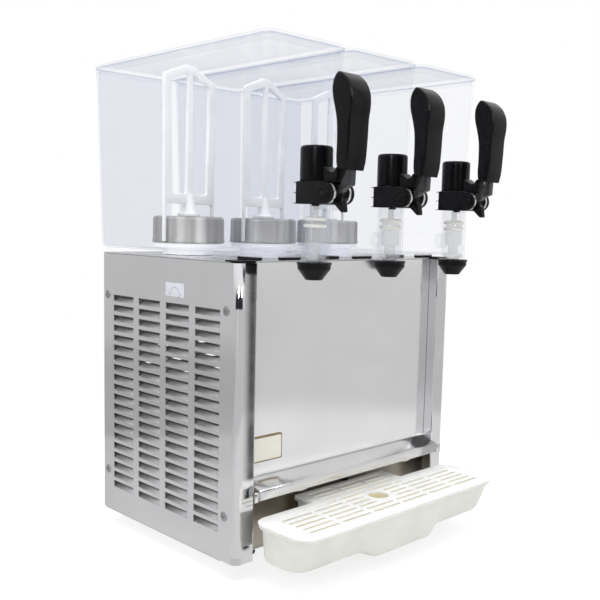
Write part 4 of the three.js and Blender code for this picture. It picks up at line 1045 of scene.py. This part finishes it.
rolled = [(10, -7), (10.4, -4.6), (11.6, -2.4), (13.4, -0.9), (16, 0)]
walls = [(z, 0) for z in (24, 32, 40, 48, 53.6)]
rim = [(54.6, 0.8), (55.1, 2.6), (55.4, 3.6), (57, 4), (57.7, 3.6), (tray_top, 2.9), (tray_top, -1.6),
       (57.6, -2.2), (56.8, -tray_wall)]
Shape().loft([tray_ring(z, grow) for z, grow in rolled + walls + rim], high=False).made(
    "tray_basin", tray_moulding, "drip_tray", sharp=45)
lining = [(56.8, -tray_wall), (44, -tray_wall), (30, -tray_wall), (20, -3.4), (15, -6), (12.8, -10),
          (12.5, -13)]
Shape().loft([tray_ring(z, grow) for z, grow in lining], low=False).made(
    "tray_lining", tray_beige_painted_light, slot="cream_plastic", body="drip_tray", sharp=45)


# Grille: white moulded plate laid on the tray, with rows of slots and a raised ring round the drain
# hole, an edge turned down and a shallow skirt that drops into the tray.
# The grille's faint glow is painted light that lifts the shade under the ledge.
grille_white_painted_light = moulded("grille_white_painted_light", (0.82, 0.82, 0.81), 0.38, 700, 0.00006, (0.74, 0.74, 0.73), glow=0.08)
grille_high, grille_thickness = 61.3, 1.5
grille_half, grille_front, grille_back = 201, -268, -168
grille_bay, grille_bay_back = 92, -130
drain_y, drain_radius, drain_ring = -205, 14.5, 2.5
slot_half, slot_gap, slot_spacing, first_row = 2.1, 6, 12.5, 22.25
ring_gap = 4


def grille_outline(inset):
    half, bay = grille_half - inset, grille_bay - inset
    front, back, bay_back = grille_front + inset, grille_back - inset, grille_bay_back - inset
    plan = [(-half, front), (half, front), (half, back), (bay, back), (bay, bay_back), (-bay, bay_back),
            (-bay, back), (-half, back)]
    result = []
    for i, radius in enumerate([30, 30, 24, 2, 3, 3, 2, 24]):
        result += softened([plan[i - 1], plan[i], plan[(i + 1) % len(plan)]], radius, 8)[9:18]
    return result


def slot_row(y, columns, pitch):
    """A row of slots, cut short where they would meet the ring round the drain."""
    clear = drain_radius + drain_ring + ring_gap
    result = []
    for column in range(columns):
        left = (column - columns / 2) * pitch + slot_gap / 2
        right = left + pitch - slot_gap
        if abs(y - drain_y) < clear and left < clear and right > -clear:
            left, right = (clear, right) if left > -clear else (left, -clear)
        if right - left > slot_gap:
            result.append(oblong(left, right, y - slot_half, y + slot_half, 1.9, 4))
    return result


def edge_band(grille, steps):
    """A closed band under the plate, from steps of inset and height."""
    grille.loft([[(a, b, z) for a, b in grille_outline(inset)] for inset, z in steps], looped=True)


slots = []
for row in range(6):
    slots += slot_row(grille_front + first_row + row * slot_spacing, 6, 58.33)
for row in range(3):
    slots += slot_row(grille_back + row * slot_spacing, 3, 50.67)
drain = [(drain_radius * math.cos(a), drain_y + drain_radius * math.sin(a)) for a in turns(48)]
grille = Shape().plate([grille_outline(1.5), drain, *slots], grille_high - grille_thickness, grille_high,
                       0.4, "z")
ring_profile = [(drain_radius, 58.4), (drain_radius, 61.2), (14.9, 61.5), (16.4, 61.5),
                (drain_radius + drain_ring, 61.2), (drain_radius + drain_ring, 58.4), (drain_radius, 58.4)]
grille.turned(ring_profile, "z", 0, drain_y, 0, 64)
edge_band(grille, ((13, 60.2), (13, 53.6), (15, 53.6), (15, 60.2)))
edge_band(grille, ((1.9, 60.2), (1.9, 58.3), (4.4, 58.3), (4.4, 60.2)))
grille.made("tray_grille", grille_white_painted_light, "drip_grille", sharp=40,
            joined=False)

# Hook on the lower panel that the tray's bay hangs on, a small black knob.
hook = [(0, -128.8), (3.6, -128.8), (4.7, -128.2), (5, -127.4), (5, -126), (3.4, -125.2), (3.4, -122.3),
        (0, -122.3)]
hook_x, _, hook_z = middle_of("tray_hook")
Shape().turned(hook, "y", hook_x, 0, hook_z, 32).made(
    "tray_knob", black_moulding, "tray_hook", sharp=45)


# Cooling unit behind the louvres: the black enamelled compressor, the finned condenser, the fan and
# the three motors under the deck that turn the agitators.
enamel = moulded("black_enamel", (0.022, 0.023, 0.026), 0.34, 260, 0.0001, (0.09, 0.09, 0.10), 0.3)
fins, place = new_finish("condenser_fins")
leaves = fins.node("TexWave", {"wave_type": "BANDS", "bands_direction": "Y"},
                   {"Vector": place, "Scale": 130.0})
tarnish = fins.noise(place, 40, 4)
coil_fins = fins.shown(fins.surface(
    base_color=fins.blend(tarnish.eased(0.35, 0.7), (0.52, 0.44, 0.34), (0.62, 0.60, 0.56)), metallic=1.0,
    roughness=0.34 + 0.2 * tarnish, normal=fins.bump(leaves, 0.0006)))
dressed("condenser", coil_fins)
dressed("fan_motor", enamel, 0.8)
dressed("fan_blades", black_moulding, 0.4)
dressed("thermostat", enamel, 0.6)
for number in (1, 2, 3):
    dressed(f"mixer_motor_{number}", enamel, 0.8)
pot_radius, dome_low, dome_height = 58, 104, 26
pot = [(0, 0), (49, 0), (49, 8), (57, 9), (pot_radius, 11), (pot_radius, dome_low)]
pot += [(pot_radius * math.cos(math.radians(a)) ** 0.7, dome_low + dome_height * math.sin(math.radians(a)))
        for a in (15, 30, 45, 60, 75, 84)]
x, y, _ = middle_of("compressor")
Shape().turned([*pot, (0, dome_low + dome_height)], "z", x, y, 0, 64).made(
    "compressor_shell", enamel, "compressor", sharp=40)


# Controls on the back: the thermostat knob, the rocker switch in its housing and the cable inlet.
knob_x, _, control_z = middle_of("thermostat_knob")
knob_back, knob_flutes, knob_sides, knob_cut = 154.3, 18, 144, 0.7
knob_steps = [(0, 16.4, 0), (0.6, 17, 0), (3, 17, 0), (3.4, 16.4, knob_cut), (11.6, 15.4, knob_cut),
              (13, 14.4, 0), (14, 13, 0), (14, 0.01, 0)]
knob = Shape().loft([
    fluted("y", radius, knob_back + along, knob_x, 0, control_z, knob_sides, cut, knob_flutes)
    for along, radius, cut in knob_steps])
pointer = softened([(-1.6, 1), (1.6, 1), (1.6, 13.5), (-1.6, 13.5)], 1.2)
knob.plate([pointer], 167.5, 170.3, 0.5, "y", knob_x, 0, control_z)
knob.made("dial_knob", black_moulding, "thermostat_knob", joined=False)
dressed("switch_body", black_moulding, 0.5)
dressed("power_switch", gloss_black, 0.6)
gland = [(4, 142), (10, 142), (10, 157.6), (9.4, 160), (8, 160.4), (8, 162), (7, 162.4), (6.4, 165),
         (5, 166), (4, 166), (4, 142)]
inlet_x, _, inlet_z = middle_of("cable_inlet")
Shape().turned(gland, "y", inlet_x, 0, inlet_z, 48).made(
    "cable_gland", foot_rubber, "cable_inlet", sharp=40)
